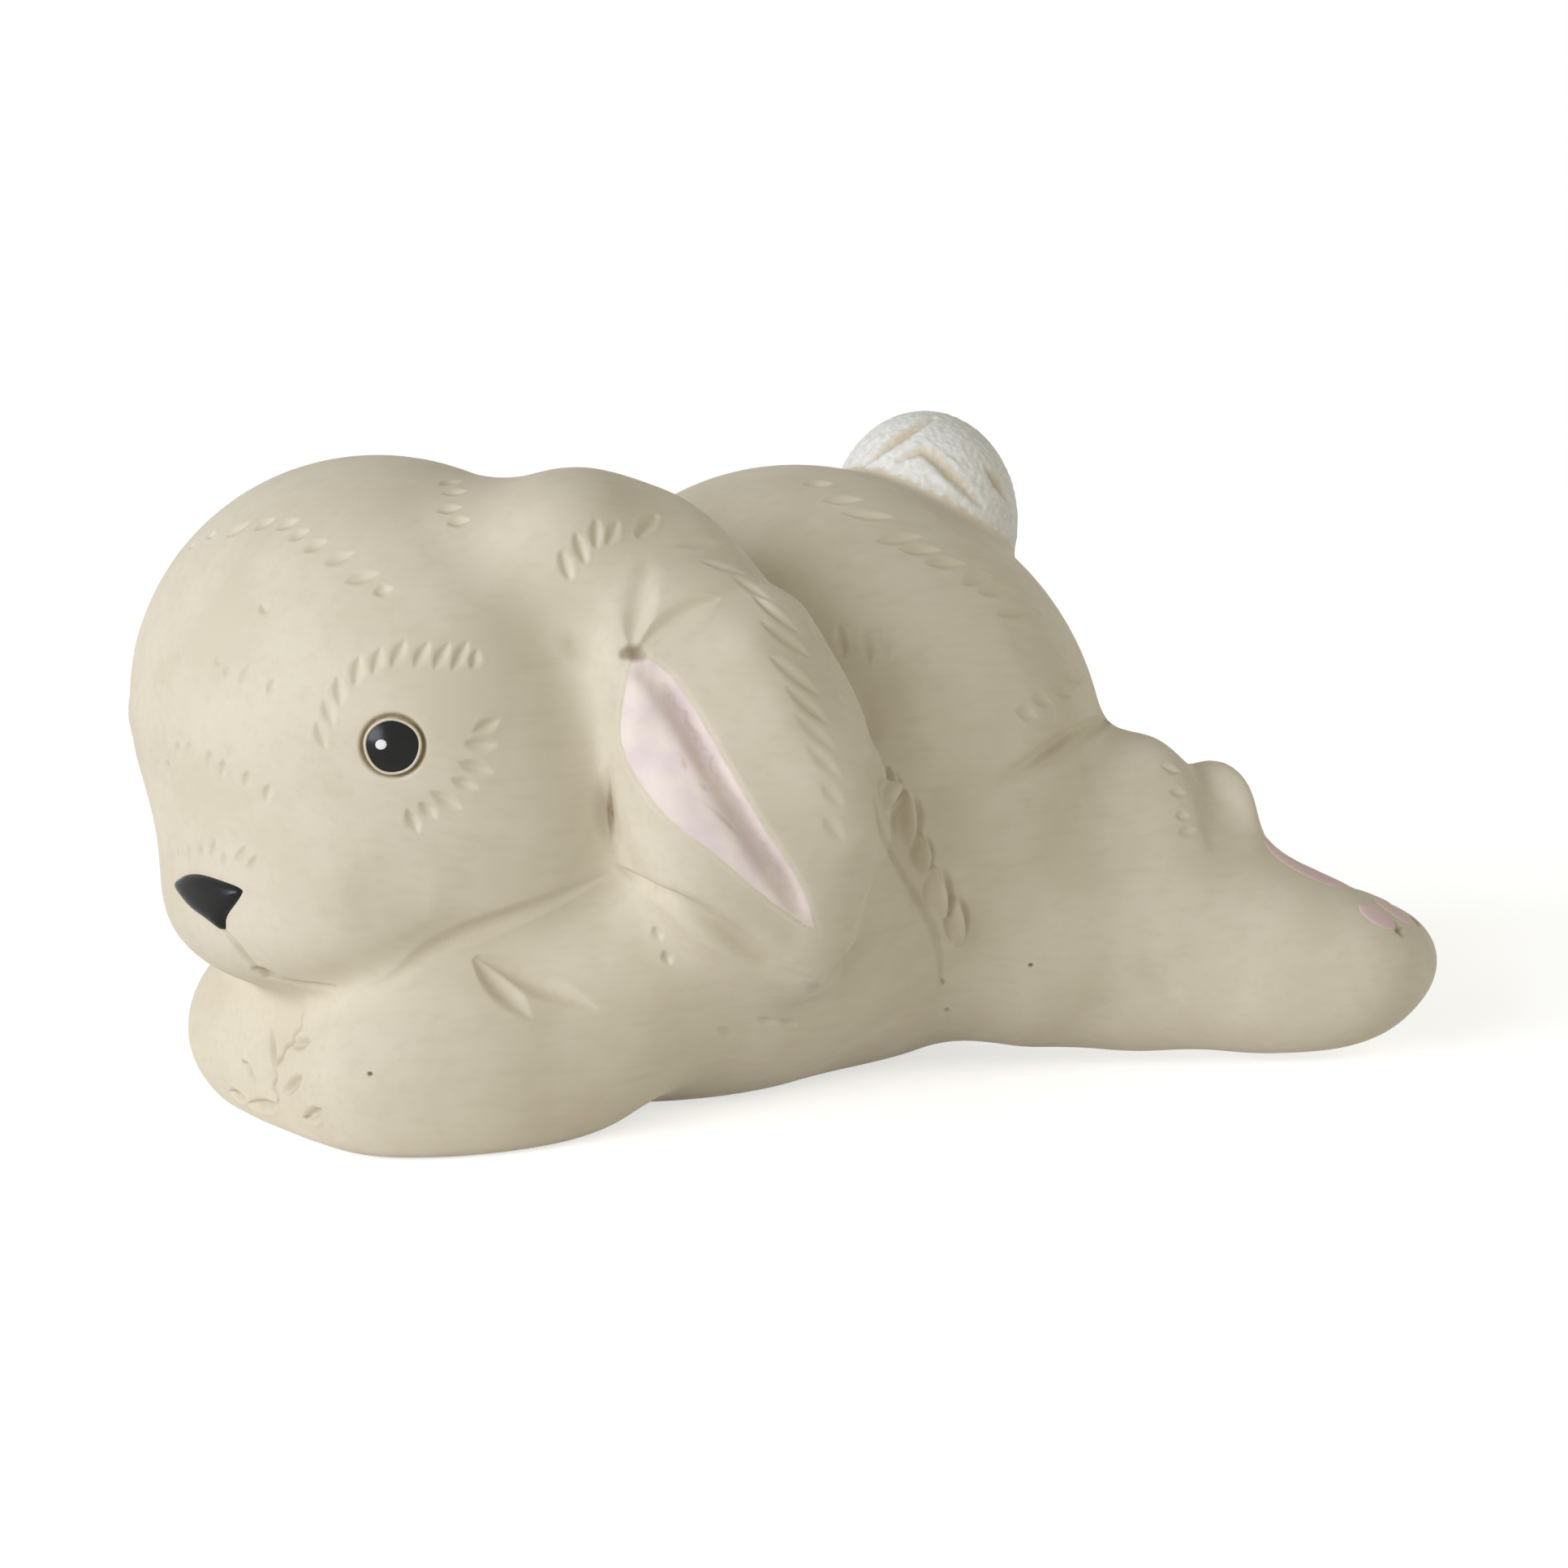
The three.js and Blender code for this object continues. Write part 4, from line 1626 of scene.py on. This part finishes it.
    def lining_mesh(self, ear: Ear) -> bpy.types.Mesh:
        """Makes the mesh of one ear's lining.

        Args:
            ear: The ear.

        Returns:
            The mesh, a thin shell in the ear's bed.
        """
        number = self.sculpture.castings().index(ear)
        lift = self.lining_rise * (2.0 * np.clip(self.inset / self.lining_step, 0.0, 1.0) - 1.0)
        points = self.points() + self.normals() * lift[:, None]
        under = points - self.normals() * (self.lining_lip + self.lining_wall * self.deep())[:, None]
        chosen = self.faces((self.owner == number) & self.lined)
        return self.closed(f"{ear.name()}_lining", chosen, points, under)


@dataclass(frozen=True)
class EyeBead:
    """A domed black eye in a thin clay rim, with a painted light in it."""

    radius: float = 3.42
    dome: float = 0.9
    proud: float = 0.1
    sunk: float = 1.2
    foot_inset: float = 0.1
    rim_wall: float = 0.26
    rim_overlap: float = 0.08
    rim_rise: float = 0.35
    rim_sunk: float = 0.05
    rim_sides: int = 12
    uneven: float = 0.015
    uneven_start: float = 0.4
    sides: int = 72
    rings: int = 12
    light_radius: float = 0.77
    light_rise: float = 0.06
    light_uneven: float = 0.08
    light_sides: int = 24
    light_rings: tuple[Span, ...] = ((0.5, 0.9), (0.85, 0.6), (1.0, -1.0))  # shares of radius, rise

    def frame(self, socket: Socket) -> Matrix:
        """Gives the matrix that stands the eye on its seat, with Z out of the head."""
        turn = Vector(socket.normal).to_track_quat("Z", "Y").to_matrix().to_4x4()
        return Matrix.Translation(Vector(to_frame(socket.place))) @ turn @ Matrix.Scale(MM, 4)

    def lathe(self, name: str, profile: Sequence[Span], socket: Socket) -> bpy.types.Mesh:
        """Turns a profile about the eye's axis.

        Args:
            name: The mesh's name.
            profile: Radius and height of each ring.
            socket: The eye's seat.

        Returns:
            The mesh.
        """
        shell = bmesh.new()
        turns = np.linspace(0.0, 2.0 * math.pi, self.sides, endpoint=False)
        start = self.uneven_start
        wave = 1.0 + self.uneven * (np.sin(3.0 * turns + start) + 0.6 * np.sin(5.0 * turns - start))
        rings = []
        for radius, height in profile:
            spots = zip(radius * wave * np.cos(turns), radius * wave * np.sin(turns))
            rings.append([shell.verts.new((x, y, height)) for x, y in spots])
        for upper, lower in zip(rings, rings[1:]):
            for i in range(self.sides):
                j = (i + 1) % self.sides
                shell.faces.new((upper[i], lower[i], lower[j], upper[j]))
        bmesh.ops.remove_doubles(shell, verts=shell.verts, dist=1e-5)
        bmesh.ops.recalc_face_normals(shell, faces=shell.faces)
        shell.transform(self.frame(socket))
        mesh = take_mesh(shell, name)
        mesh.shade_smooth()
        return mesh

    def top(self, aside: Array) -> Array:
        """Gives the dome's height at a distance from the eye's axis."""
        return self.dome * (1.0 - (aside / self.radius) ** 2) + self.proud

    def bead_mesh(self, socket: Socket) -> bpy.types.Mesh:
        """Makes the black bead.

        Args:
            socket: The eye's seat.

        Returns:
            The mesh.
        """
        reach = self.radius * np.sin(np.linspace(0.0, math.pi / 2, self.rings))
        profile = list(zip(reach, self.top(reach)))
        profile += [(self.radius - self.foot_inset, -self.sunk), (0.0, -self.sunk)]
        return self.lathe(socket.node, profile, socket)

    def rim_mesh(self, socket: Socket) -> bpy.types.Mesh:
        """Makes the rim, a thin ring round the bead.

        Args:
            socket: The eye's seat.

        Returns:
            The mesh.
        """
        turns = np.linspace(0.0, 2.0 * math.pi, self.rim_sides + 1)
        middle = self.radius + self.rim_wall / 2
        wide, tall = self.rim_wall / 2 + self.rim_overlap, self.rim_rise
        profile = [(middle + wide * math.cos(t), tall * math.sin(t) - self.rim_sunk) for t in turns]
        return self.lathe(f"{socket.node}_ring", profile, socket)

    def light_mesh(self, socket: Socket, aside: Array) -> bpy.types.Mesh:
        """Makes the painted light, a thin round dab on the bead.

        Args:
            socket: The eye's seat.
            aside: Where the light is, as a way from the bead's middle.

        Returns:
            The mesh.
        """
        away = self.frame(socket).to_3x3().inverted() @ Vector(aside * MM)
        shell = bmesh.new()
        top = shell.verts.new((away.x, away.y, self.top(np.hypot(away.x, away.y)) + self.light_rise))
        rings = []
        for share, rise in self.light_rings:
            ring = []
            for turn in np.linspace(0.0, 2.0 * math.pi, self.light_sides, endpoint=False):
                wave = 1.0 + self.light_uneven * math.sin(2.0 * turn + 1.0)
                reach = self.light_radius * share * wave
                x, y = away.x + reach * math.cos(turn), away.y + reach * math.sin(turn)
                ring.append(shell.verts.new((x, y, self.top(np.hypot(x, y)) + self.light_rise * rise)))
            rings.append(ring)
        for i in range(self.light_sides):
            j = (i + 1) % self.light_sides
            shell.faces.new((top, rings[0][i], rings[0][j]))
            for upper, lower in zip(rings, rings[1:]):
                shell.faces.new((upper[i], lower[i], lower[j], upper[j]))
        shell.faces.new(list(reversed(rings[-1])))
        shell.transform(self.frame(socket))
        mesh = take_mesh(shell, f"{socket.node}_light")
        mesh.shade_smooth()
        return mesh


@dataclass(frozen=True)
class Inlay:
    """A thin piece that lies in the skin inside an outline, a little proud of it."""

    proud: float
    dive: float = 0.0
    thin: float = 0.12
    sunk: float = 0.6
    rings: int = 12
    spread: float = 0.7
    edge: float = 5.0

    def mesh(self, name: str, sculpture: Sculpture, outline: Array) -> bpy.types.Mesh:
        """Makes the inlay.

        Args:
            name: The mesh's name.
            sculpture: What it lies in.
            outline: Places round its edge, in order.

        Returns:
            The mesh, with paint that thins towards its edge.
        """
        count = len(outline)
        middle = sculpture.settle(outline.mean(0)[None])
        shares = np.linspace(0.0, 1.0, self.rings + 1)[1:] ** self.spread
        flat = np.concatenate([middle] + [middle + s * (outline - middle) for s in shares])
        lying = sculpture.settle(flat)
        normals = unit(sculpture.slope(lying))
        share = np.concatenate([[0.0], np.repeat(shares, count)])
        lift = (self.proud + self.dive) * np.sqrt(1.0 - share**self.edge) - self.dive
        raised = lying + normals * lift[:, None]
        skirt = lying[-count:] - normals[-count:] * self.sunk
        bed = middle - normals[:1] * (self.sunk + self.proud)
        points = np.concatenate([raised, skirt, bed])
        faces = [(0, 1 + i, 1 + (i + 1) % count) for i in range(count)]
        for ring in range(self.rings):
            start = 1 + ring * count
            for i in range(count):
                j = (i + 1) % count
                faces.append((start + i, start + count + i, start + count + j, start + j))
        last, foot = 1 + self.rings * count, len(points) - 1
        faces += [(last + (i + 1) % count, last + i, foot) for i in range(count)]
        mesh = bpy.data.meshes.new(name)
        mesh.from_pydata(to_frame(points).tolist(), [], faces)
        shell = bmesh.new()
        shell.from_mesh(mesh)
        bmesh.ops.recalc_face_normals(shell, faces=shell.faces)
        shell.to_mesh(mesh)
        shell.free()
        cover = np.clip((1.0 - share) / self.thin, 0.0, 1.0)
        keep(mesh, COAT_AND_HIGHLIGHT, np.concatenate([cover, np.zeros(count + 1)]))
        keep(mesh, WASH_AND_SHADE, np.zeros(len(points)))
        mesh.shade_smooth()
        return mesh


@dataclass(frozen=True)
class Nose:
    """The black nose, a soft triangle whose tip runs into the cleft of the lip."""

    outline: tuple[Pixel, ...] = (
        (213, 1088),
        (230, 1077),
        (250, 1077),
        (301, 1095),
        (296, 1106),
        (278, 1130),
        (279, 1149),
        (255, 1131),
        (235, 1117),
    )
    inlay: Inlay = Inlay(0.9, edge=4.0)
    roundings: int = 3
    corner: float = 0.2

    def mesh(self, sculpture: Sculpture) -> bpy.types.Mesh:
        """Makes the nose.

        Args:
            sculpture: What it lies in.

        Returns:
            The mesh.
        """
        ring = np.array([*self.outline, self.outline[0]], float)
        cut, rest = self.corner, 1.0 - self.corner
        for _ in range(self.roundings):
            early, late = rest * ring[:-1] + cut * ring[1:], cut * ring[:-1] + rest * ring[1:]
            ring = np.stack([early, late], axis=1).reshape(-1, 2)
            ring = np.concatenate([ring, ring[:1]])
        return self.inlay.mesh("nose", sculpture, sculpture.cast(ring[:-1]))


@dataclass(frozen=True)
class FootPads:
    """The pink sole pad and toe pads of a hind foot."""

    sole_half: tuple[float, float] = (8.8, 7.8)
    toe_half: tuple[float, float] = (3.7, 2.0)
    toe_ahead: float = 1.3
    inlay: Inlay = Inlay(0.2, dive=0.15, thin=0.03)
    sides: int = 56

    def outline(self, sculpture: Sculpture, leg: HindLeg, node: str) -> Array:
        """Gives an oval on the skin round the place of a pad.

        Args:
            sculpture: What the pad lies in.
            leg: The leg that it is on.
            node: The pad's node in the frame.

        Returns:
            Places round its edge.
        """
        half, ahead = (self.sole_half, 0.0) if "sole" in node else (self.toe_half, self.toe_ahead)
        middle, normal = sculpture.seat(node)
        foot = leg.forms[leg.shapes().index(leg.foot)].axes[0]
        length = unit(foot - normal * foot.dot(normal))
        width = np.cross(normal, length)
        turns = np.linspace(0.0, 2.0 * math.pi, self.sides, endpoint=False)[:, None]
        along, across = ahead + half[0] * np.cos(turns), half[1] * np.sin(turns)
        return sculpture.settle(middle + along * length + across * width)

    def meshes(self, sculpture: Sculpture, leg: HindLeg) -> dict[str, bpy.types.Mesh]:
        """Makes the pads of one foot.

        Args:
            sculpture: What they lie in.
            leg: The leg that they are on.

        Returns:
            The meshes, by the names of their nodes.
        """
        side = leg.side.name.lower()
        nodes = [f"{side}_sole_pad", *(f"{side}_toe_pad_{n}" for n in (1, 2, 3))]
        return {n: self.inlay.mesh(n, sculpture, self.outline(sculpture, leg, n)) for n in nodes}


class Bench:
    """Lays out the nodes of one material, with the coordinates in millimetres."""

    def __init__(self, name: str) -> None:
        """Starts the material.

        Args:
            name: The material's name.
        """
        self.material = bpy.data.materials.new(name)
        self.material.use_nodes = True
        self.nodes = self.material.node_tree.nodes
        self.shader = self.nodes["Principled BSDF"]
        self.place = self.add("ShaderNodeTexCoord").outputs["Object"]

    def add(self, kind: str, **settings: object) -> bpy.types.Node:
        """Adds a node.

        Args:
            kind: The node's type.
            **settings: Values of its own properties.

        Returns:
            The node.
        """
        node = self.nodes.new(kind)
        for name, value in settings.items():
            setattr(node, name, value)
        return node

    def join(self, source: Plug, target: Plug) -> None:
        """Links two sockets."""
        self.material.node_tree.links.new(source, target)

    def attribute(self, name: str) -> Plug:
        """Gives a number that the mesh keeps for each point."""
        return self.add("ShaderNodeAttribute", attribute_name=name).outputs["Fac"]

    def noise(self, size: Point, detail: float = 3.0, rough: float = 0.55) -> Plug:
        """Gives cloudy noise.

        Args:
            size: Size of its clouds along X, Y and Z, in millimetres.
            detail: How many finer layers it has.
            rough: How strong they are.

        Returns:
            A number from about 0.2 to 0.8.
        """
        mapping = self.add("ShaderNodeMapping")
        mapping.inputs["Scale"].default_value = [1.0 / (s * MM) for s in size]
        self.join(self.place, mapping.inputs["Vector"])
        noise = self.add("ShaderNodeTexNoise")
        noise.inputs["Scale"].default_value = 1.0
        noise.inputs["Detail"].default_value = detail
        noise.inputs["Roughness"].default_value = rough
        self.join(mapping.outputs["Vector"], noise.inputs["Vector"])
        return noise.outputs["Fac"]

    def ramp(self, value: Plug, span: Span, given: Span = (0.0, 1.0)) -> Plug:
        """Gives a smooth step.

        Args:
            value: What is measured.
            span: The values where the step starts and ends.
            given: What it gives below and above the step.

        Returns:
            The stepped number.
        """
        step = self.add("ShaderNodeMapRange", interpolation_type="SMOOTHSTEP")
        for name, number in zip(("From Min", "From Max", "To Min", "To Max"), (*span, *given)):
            step.inputs[name].default_value = number
        self.join(value, step.inputs["Value"])
        return step.outputs["Result"]

    def sum(self, a: Plug, b: Plug, share: float) -> Plug:
        """Adds a share of one number to another.

        Args:
            a: The number that is whole.
            b: The number that is shared.
            share: Its share.

        Returns:
            The sum.
        """
        node = self.add("ShaderNodeMath", operation="MULTIPLY_ADD")
        self.join(b, node.inputs[0])
        node.inputs[1].default_value = share
        self.join(a, node.inputs[2])
        return node.outputs[0]

    def product(self, a: Plug, b: Plug) -> Plug:
        """Multiplies two numbers.

        Args:
            a: The first number.
            b: The second number.

        Returns:
            The product.
        """
        node = self.add("ShaderNodeMath", operation="MULTIPLY")
        self.join(a, node.inputs[0])
        self.join(b, node.inputs[1])
        return node.outputs[0]

    def blend(self, share: Plug, below: Colour | Plug, above: Colour | Plug) -> Plug:
        """Lays one colour over another.

        Args:
            share: How much of the upper colour covers.
            below: The lower colour.
            above: The upper colour.

        Returns:
            The colour.
        """
        mix = self.add("ShaderNodeMix", data_type="RGBA")
        self.join(share, mix.inputs["Factor"])
        for colour, target in zip((below, above), mix.inputs[MIX_COLOURS]):
            if isinstance(colour, tuple):
                target.default_value = linear(colour)
            else:
                self.join(colour, target)
        return mix.outputs[MIX_RESULT]

    def bump(self, height: Plug, distance: float, strength: float) -> None:
        """Roughens the surface by a height.

        Args:
            height: A number that is 1 at the top.
            distance: How much higher that is, in millimetres.
            strength: How strongly it shows.
        """
        bump = self.add("ShaderNodeBump")
        bump.inputs["Distance"].default_value = distance * MM
        bump.inputs["Strength"].default_value = strength
        self.join(height, bump.inputs["Height"])
        self.join(bump.outputs["Normal"], self.shader.inputs["Normal"])

    def dress(self, colour: Plug, rough: Plug, sheen: float) -> bpy.types.Material:
        """Gives the shader its looks.

        Args:
            colour: The colour.
            rough: The roughness.
            sheen: How strongly it reflects.

        Returns:
            The material.
        """
        self.join(colour, self.shader.inputs["Base Color"])
        self.join(rough, self.shader.inputs["Roughness"])
        self.shader.inputs["Specular IOR Level"].default_value = sheen
        return self.material


@dataclass(frozen=True)
class BrushedPaint:
    """Matte paint, brushed on in streaks, darker where thin paint settles and where painted shade is
    kept, with a dabbed layer over it that is a painted highlight on the clay's convex edges.
    """

    name: str
    ground: Colour = (221, 211, 189)
    shade: Colour = (214, 203, 180)
    # The colour that thin paint and painted shade darken towards.
    settled: Colour = (133, 113, 82)
    # The dabbed colours; on the clay they pale the convex edges as a painted highlight.
    coat: Colour = (230, 222, 204)
    thin_coat: Colour = (224, 215, 195)
    coverage: float = 0.3
    dab: float = 1.6
    patch: float = 6.0
    torn: float = 0.35
    streak: Point = (9.0, 1.4, 1.4)
    cloud: float = 14.0
    grain: float = 0.35
    cloud_edge: Span = (0.35, 0.7)
    streak_edge: Span = (0.45, 0.75)
    patch_edge: Span = (0.35, 0.65)
    fleck_edge: Span = (0.25, 0.75)
    wash_edge: Span = (0.02, 1.1)
    coat_half_edge: float = 0.2
    streak_share: float = 0.5
    grain_share: float = 0.5
    fleck_share: float = 0.6
    matte: Span = (0.54, 0.68)
    sheen: float = 0.25
    relief: float = 0.05
    relief_shown: float = 0.2

    def material(self) -> bpy.types.Material:
        """Makes the material.

        Returns:
            The material, which reads the thin paint, the painted shade and the dabbed layer, with the
            painted highlight, that the mesh keeps.
        """
        bench = Bench(self.name)
        clouds = bench.ramp(bench.noise((self.cloud,) * 3), self.cloud_edge)
        streaks = bench.noise(self.streak, 2.0)
        grain = bench.noise((self.grain,) * 3, 2.0)
        fleck = bench.noise((self.dab,) * 3, 4.0)
        shaded = bench.sum(clouds, bench.ramp(streaks, self.streak_edge), self.streak_share)
        colour = bench.blend(shaded, self.ground, self.shade)
        middle = 0.5 + self.torn / 2
        edge = (middle - self.coat_half_edge, middle + self.coat_half_edge)
        # The dabbed layer covers where the mesh keeps it; on the clay that is a painted highlight on
        # convex edges.
        cover = bench.sum(bench.attribute(COAT_AND_HIGHLIGHT), fleck, self.torn)
        patches = bench.ramp(bench.noise((self.patch,) * 3), self.patch_edge)
        coat = bench.blend(patches, self.thin_coat, self.coat)
        colour = bench.blend(bench.ramp(cover, edge, (0.0, self.coverage)), colour, coat)
        # Darkens where the mesh keeps thin paint and painted shade.
        flecked = bench.product(bench.attribute(WASH_AND_SHADE), fleck)
        wash = bench.sum(bench.attribute(WASH_AND_SHADE), flecked, self.fleck_share)
        colour = bench.blend(bench.ramp(wash, self.wash_edge), colour, self.settled)
        bench.bump(bench.sum(streaks, grain, self.grain_share), self.relief, self.relief_shown)
        return bench.dress(colour, bench.ramp(fleck, self.fleck_edge, self.matte), self.sheen)


@dataclass(frozen=True)
class GlossEnamel:
    """Black enamel, laid on with a brush and glossy."""

    name: str
    ground: Colour = (13, 13, 11)
    thick: Colour = (8, 8, 7)
    cloud: float = 2.2
    colour_edge: Span = (0.35, 0.65)
    gloss_edge: Span = (0.3, 0.7)
    gloss: Span = (0.2, 0.34)
    sheen: float = 0.3
    relief: float = 0.05
    relief_shown: float = 0.4

    def material(self) -> bpy.types.Material:
        """Makes the material.

        Returns:
            The material.
        """
        bench = Bench(self.name)
        clouds = bench.noise((self.cloud,) * 3)
        colour = bench.blend(bench.ramp(clouds, self.colour_edge), self.ground, self.thick)
        bench.bump(clouds, self.relief, self.relief_shown)
        return bench.dress(colour, bench.ramp(clouds, self.gloss_edge, self.gloss), self.sheen)


@dataclass
class Studio:
    """The pale floor, the lamps and the white surroundings."""

    floor_half: float = 2.5
    floor_colour: Colour = (242, 242, 242)
    floor_squares: int = 8
    floor_rough: float = 0.9
    floor_lift: float = 0.62
    ambient: float = 1.02
    zenith: float = 0.04
    ambient_tint: tuple[float, float, float, float] = (1.0, 0.985, 0.87, 1.0)
    key: float = 2.35
    key_tint: tuple[float, float, float] = (0.95, 1.0, 1.15)
    key_azimuth: float = -80.0
    key_elevation: float = 9.0
    key_softness: float = 40.0

    def build(self) -> None:
        """Makes the floor, the world and the lamp."""
        scene = bpy.context.scene
        scene.view_settings.view_transform = "Standard"
        scene.world = self.world()
        self.lamp()
        self.floor()

    @staticmethod
    def seen(tree: bpy.types.NodeTree) -> Plug:
        """Tells what is looked at from what only gives light.

        Args:
            tree: The nodes that it is added to.

        Returns:
            1 where the camera, a reflection or glass looks, and 0 where light is gathered.
        """
        path = tree.nodes.new("ShaderNodeLightPath")
        first, second = (tree.nodes.new("ShaderNodeMath") for _ in range(2))
        for node in (first, second):
            node.operation = "MAXIMUM"
        tree.links.new(path.outputs["Is Camera Ray"], first.inputs[0])
        tree.links.new(path.outputs["Is Glossy Ray"], first.inputs[1])
        tree.links.new(first.outputs[0], second.inputs[0])
        tree.links.new(path.outputs["Is Transmission Ray"], second.inputs[1])
        return second.outputs[0]

    def world(self) -> bpy.types.World:
        """Makes surroundings that look white and light the object dimly.

        Returns:
            The world.
        """
        world = bpy.data.worlds.new("white_surroundings")
        world.use_nodes = True
        tree = world.node_tree
        back = tree.nodes["Background"]
        seen = self.seen(tree)
        tint = tree.nodes.new("ShaderNodeMix")
        tint.data_type = "RGBA"
        for plug, colour in zip(tint.inputs[MIX_COLOURS], (self.ambient_tint, WHITE_LIGHT)):
            plug.default_value = colour
        tree.links.new(seen, tint.inputs["Factor"])
        tree.links.new(tint.outputs[MIX_RESULT], back.inputs["Color"])
        way = tree.nodes.new("ShaderNodeSeparateXYZ")
        tree.links.new(tree.nodes.new("ShaderNodeTexCoord").outputs["Generated"], way.inputs["Vector"])
        sky, step = (tree.nodes.new("ShaderNodeMapRange") for _ in range(2))
        sky.inputs["To Min"].default_value = self.ambient
        sky.inputs["To Max"].default_value = self.zenith
        tree.links.new(way.outputs["Z"], sky.inputs["Value"])
        tree.links.new(sky.outputs["Result"], step.inputs["To Min"])
        tree.links.new(seen, step.inputs["Value"])
        tree.links.new(step.outputs["Result"], back.inputs["Strength"])
        return world

    def lamp(self) -> None:
        """Makes the soft lamp at the front left."""
        data = bpy.data.lights.new("soft_lamp", "SUN")
        data.energy = self.key
        data.color = self.key_tint
        data.angle = math.radians(self.key_softness)
        lamp = bpy.data.objects.new("soft_lamp", data)
        way = Vector(bearing(self.key_azimuth, self.key_elevation))
        lamp.rotation_euler = way.to_track_quat("Z", "Y").to_euler()
        bpy.context.scene.collection.objects.link(lamp)

    def floor(self) -> None:
        """Makes the floor, which looks white but keeps the object's shadow."""
        shell = bmesh.new()
        count = self.floor_squares
        bmesh.ops.create_grid(shell, x_segments=count, y_segments=count, size=self.floor_half)
        mesh = take_mesh(shell, "floor")
        floor = bpy.data.objects.new("floor", mesh)
        bpy.context.scene.collection.objects.link(floor)
        material = bpy.data.materials.new("floor_white")
        material.use_nodes = True
        tree = material.node_tree
        shader = tree.nodes["Principled BSDF"]
        shader.inputs["Base Color"].default_value = linear(self.floor_colour)
        shader.inputs["Roughness"].default_value = self.floor_rough
        shader.inputs["Specular IOR Level"].default_value = 0.0
        shader.inputs["Emission Color"].default_value = WHITE_LIGHT
        lift = tree.nodes.new("ShaderNodeMath")
        lift.operation = "MULTIPLY"
        lift.inputs[1].default_value = self.floor_lift
        tree.links.new(self.seen(tree), lift.inputs[0])
        tree.links.new(lift.outputs[0], shader.inputs["Emission Strength"])
        mesh.materials.append(material)
        floor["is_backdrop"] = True


@dataclass
class Ornament:
    """The dressed ornament, piece by piece."""

    sculpture: Sculpture
    clay: BrushedPaint = BrushedPaint("brushed_clay")
    white: BrushedPaint = BrushedPaint(
        "dabbed_white",
        # The tail's grooves and hollows darken to this: thin paint and painted shade.
        settled=(198, 181, 152),
        coat=(233, 233, 229),
        thin_coat=(222, 219, 209),
        patch=1.2,
        coverage=0.95,
        torn=0.8,
    )
    pink: BrushedPaint = BrushedPaint(
        "dry_brushed_pink", coat=(239, 224, 214), thin_coat=(230, 213, 210), coverage=0.97, torn=0.6
    )
    pad_pink: BrushedPaint = BrushedPaint(
        "brushed_pad_pink", coat=(231, 203, 198), thin_coat=(223, 195, 192), coverage=0.97, torn=0.4
    )
    black: GlossEnamel = GlossEnamel("black_enamel")
    light: BrushedPaint = BrushedPaint("eye_light", ground=(235, 235, 230), shade=(225, 225, 220))
    bead: EyeBead = EyeBead()
    nose: Nose = Nose()
    pads: FootPads = FootPads()
    light_at: Pixel = (470, 916)

    def socket(self, side: Side) -> Socket:
        """Finds the seat of an eye."""
        node = f"{side.name.lower()}_eye"
        return Socket(node, *self.sculpture.seat(node))

    def add(self, mesh: bpy.types.Mesh, node: str | None, slot: Slot, paint: bpy.types.Material) -> None:
        """Puts a piece into the scene.

        Args:
            mesh: Its mesh, in the frame.
            node: The node that it stands for, if any.
            slot: The slot of its finish; not used.
            paint: Its material.
        """
        piece = bpy.data.objects.new(f"{mesh.name.split('.')[0]}_painted", mesh)
        mesh.materials.append(paint)
        bpy.context.scene.collection.objects.link(piece)
        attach(piece, BODY)
        if node:
            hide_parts(node)
        log.info("%s: %d faces", piece.name, len(mesh.polygons))

    def build(self) -> None:
        """Makes every piece."""
        sculpture = self.sculpture
        sockets = [self.socket(side) for side in Side]
        skin = Skin(sculpture, sockets)
        skin.build()
        clay, white, pink = self.clay.material(), self.white.material(), self.pink.material()
        pad_pink, black, light = self.pad_pink.material(), self.black.material(), self.light.material()
        for casting in sculpture.castings():
            slot, paint = (Slot.WHITE, white) if casting is sculpture.tail else (Slot.CLAY, clay)
            self.add(skin.casting_mesh(casting), casting.name(), slot, paint)
        for ear in sculpture.ears:
            self.add(skin.lining_mesh(ear), f"{ear.name()}_lining", Slot.PINK, pink)
        dab = sculpture.cast([self.light_at])
        for socket, spot in zip(sockets, (dab, sculpture.head.across(dab))):
            aside = (spot - socket.place)[0]
            self.add(self.bead.bead_mesh(socket), socket.node, Slot.BLACK, black)
            self.add(self.bead.rim_mesh(socket), f"{socket.node}_ring", Slot.CLAY, clay)
            self.add(self.bead.light_mesh(socket, aside), None, Slot.WHITE, light)
        self.add(self.nose.mesh(sculpture), "nose", Slot.BLACK, black)
        for leg in sculpture.hind_legs:
            for node, mesh in self.pads.meshes(sculpture, leg).items():
                self.add(mesh, node, Slot.PINK, pad_pink)


def main() -> None:
    """Builds the camera, the studio and the ornament, and measures the bounds before and after dressing.
    """
    logging.basicConfig(level=logging.INFO, format="%(name)s: %(message)s")
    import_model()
    cad_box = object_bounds()
    camera = PhotoCamera()
    camera.build()
    Studio().build()
    Ornament(Sculpture(camera)).build()
    boxes = {"cad": cad_box, "visual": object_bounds()}
    {name: [list(corner) for corner in box] for name, box in boxes.items()}


if __name__ == "__main__":
    main()
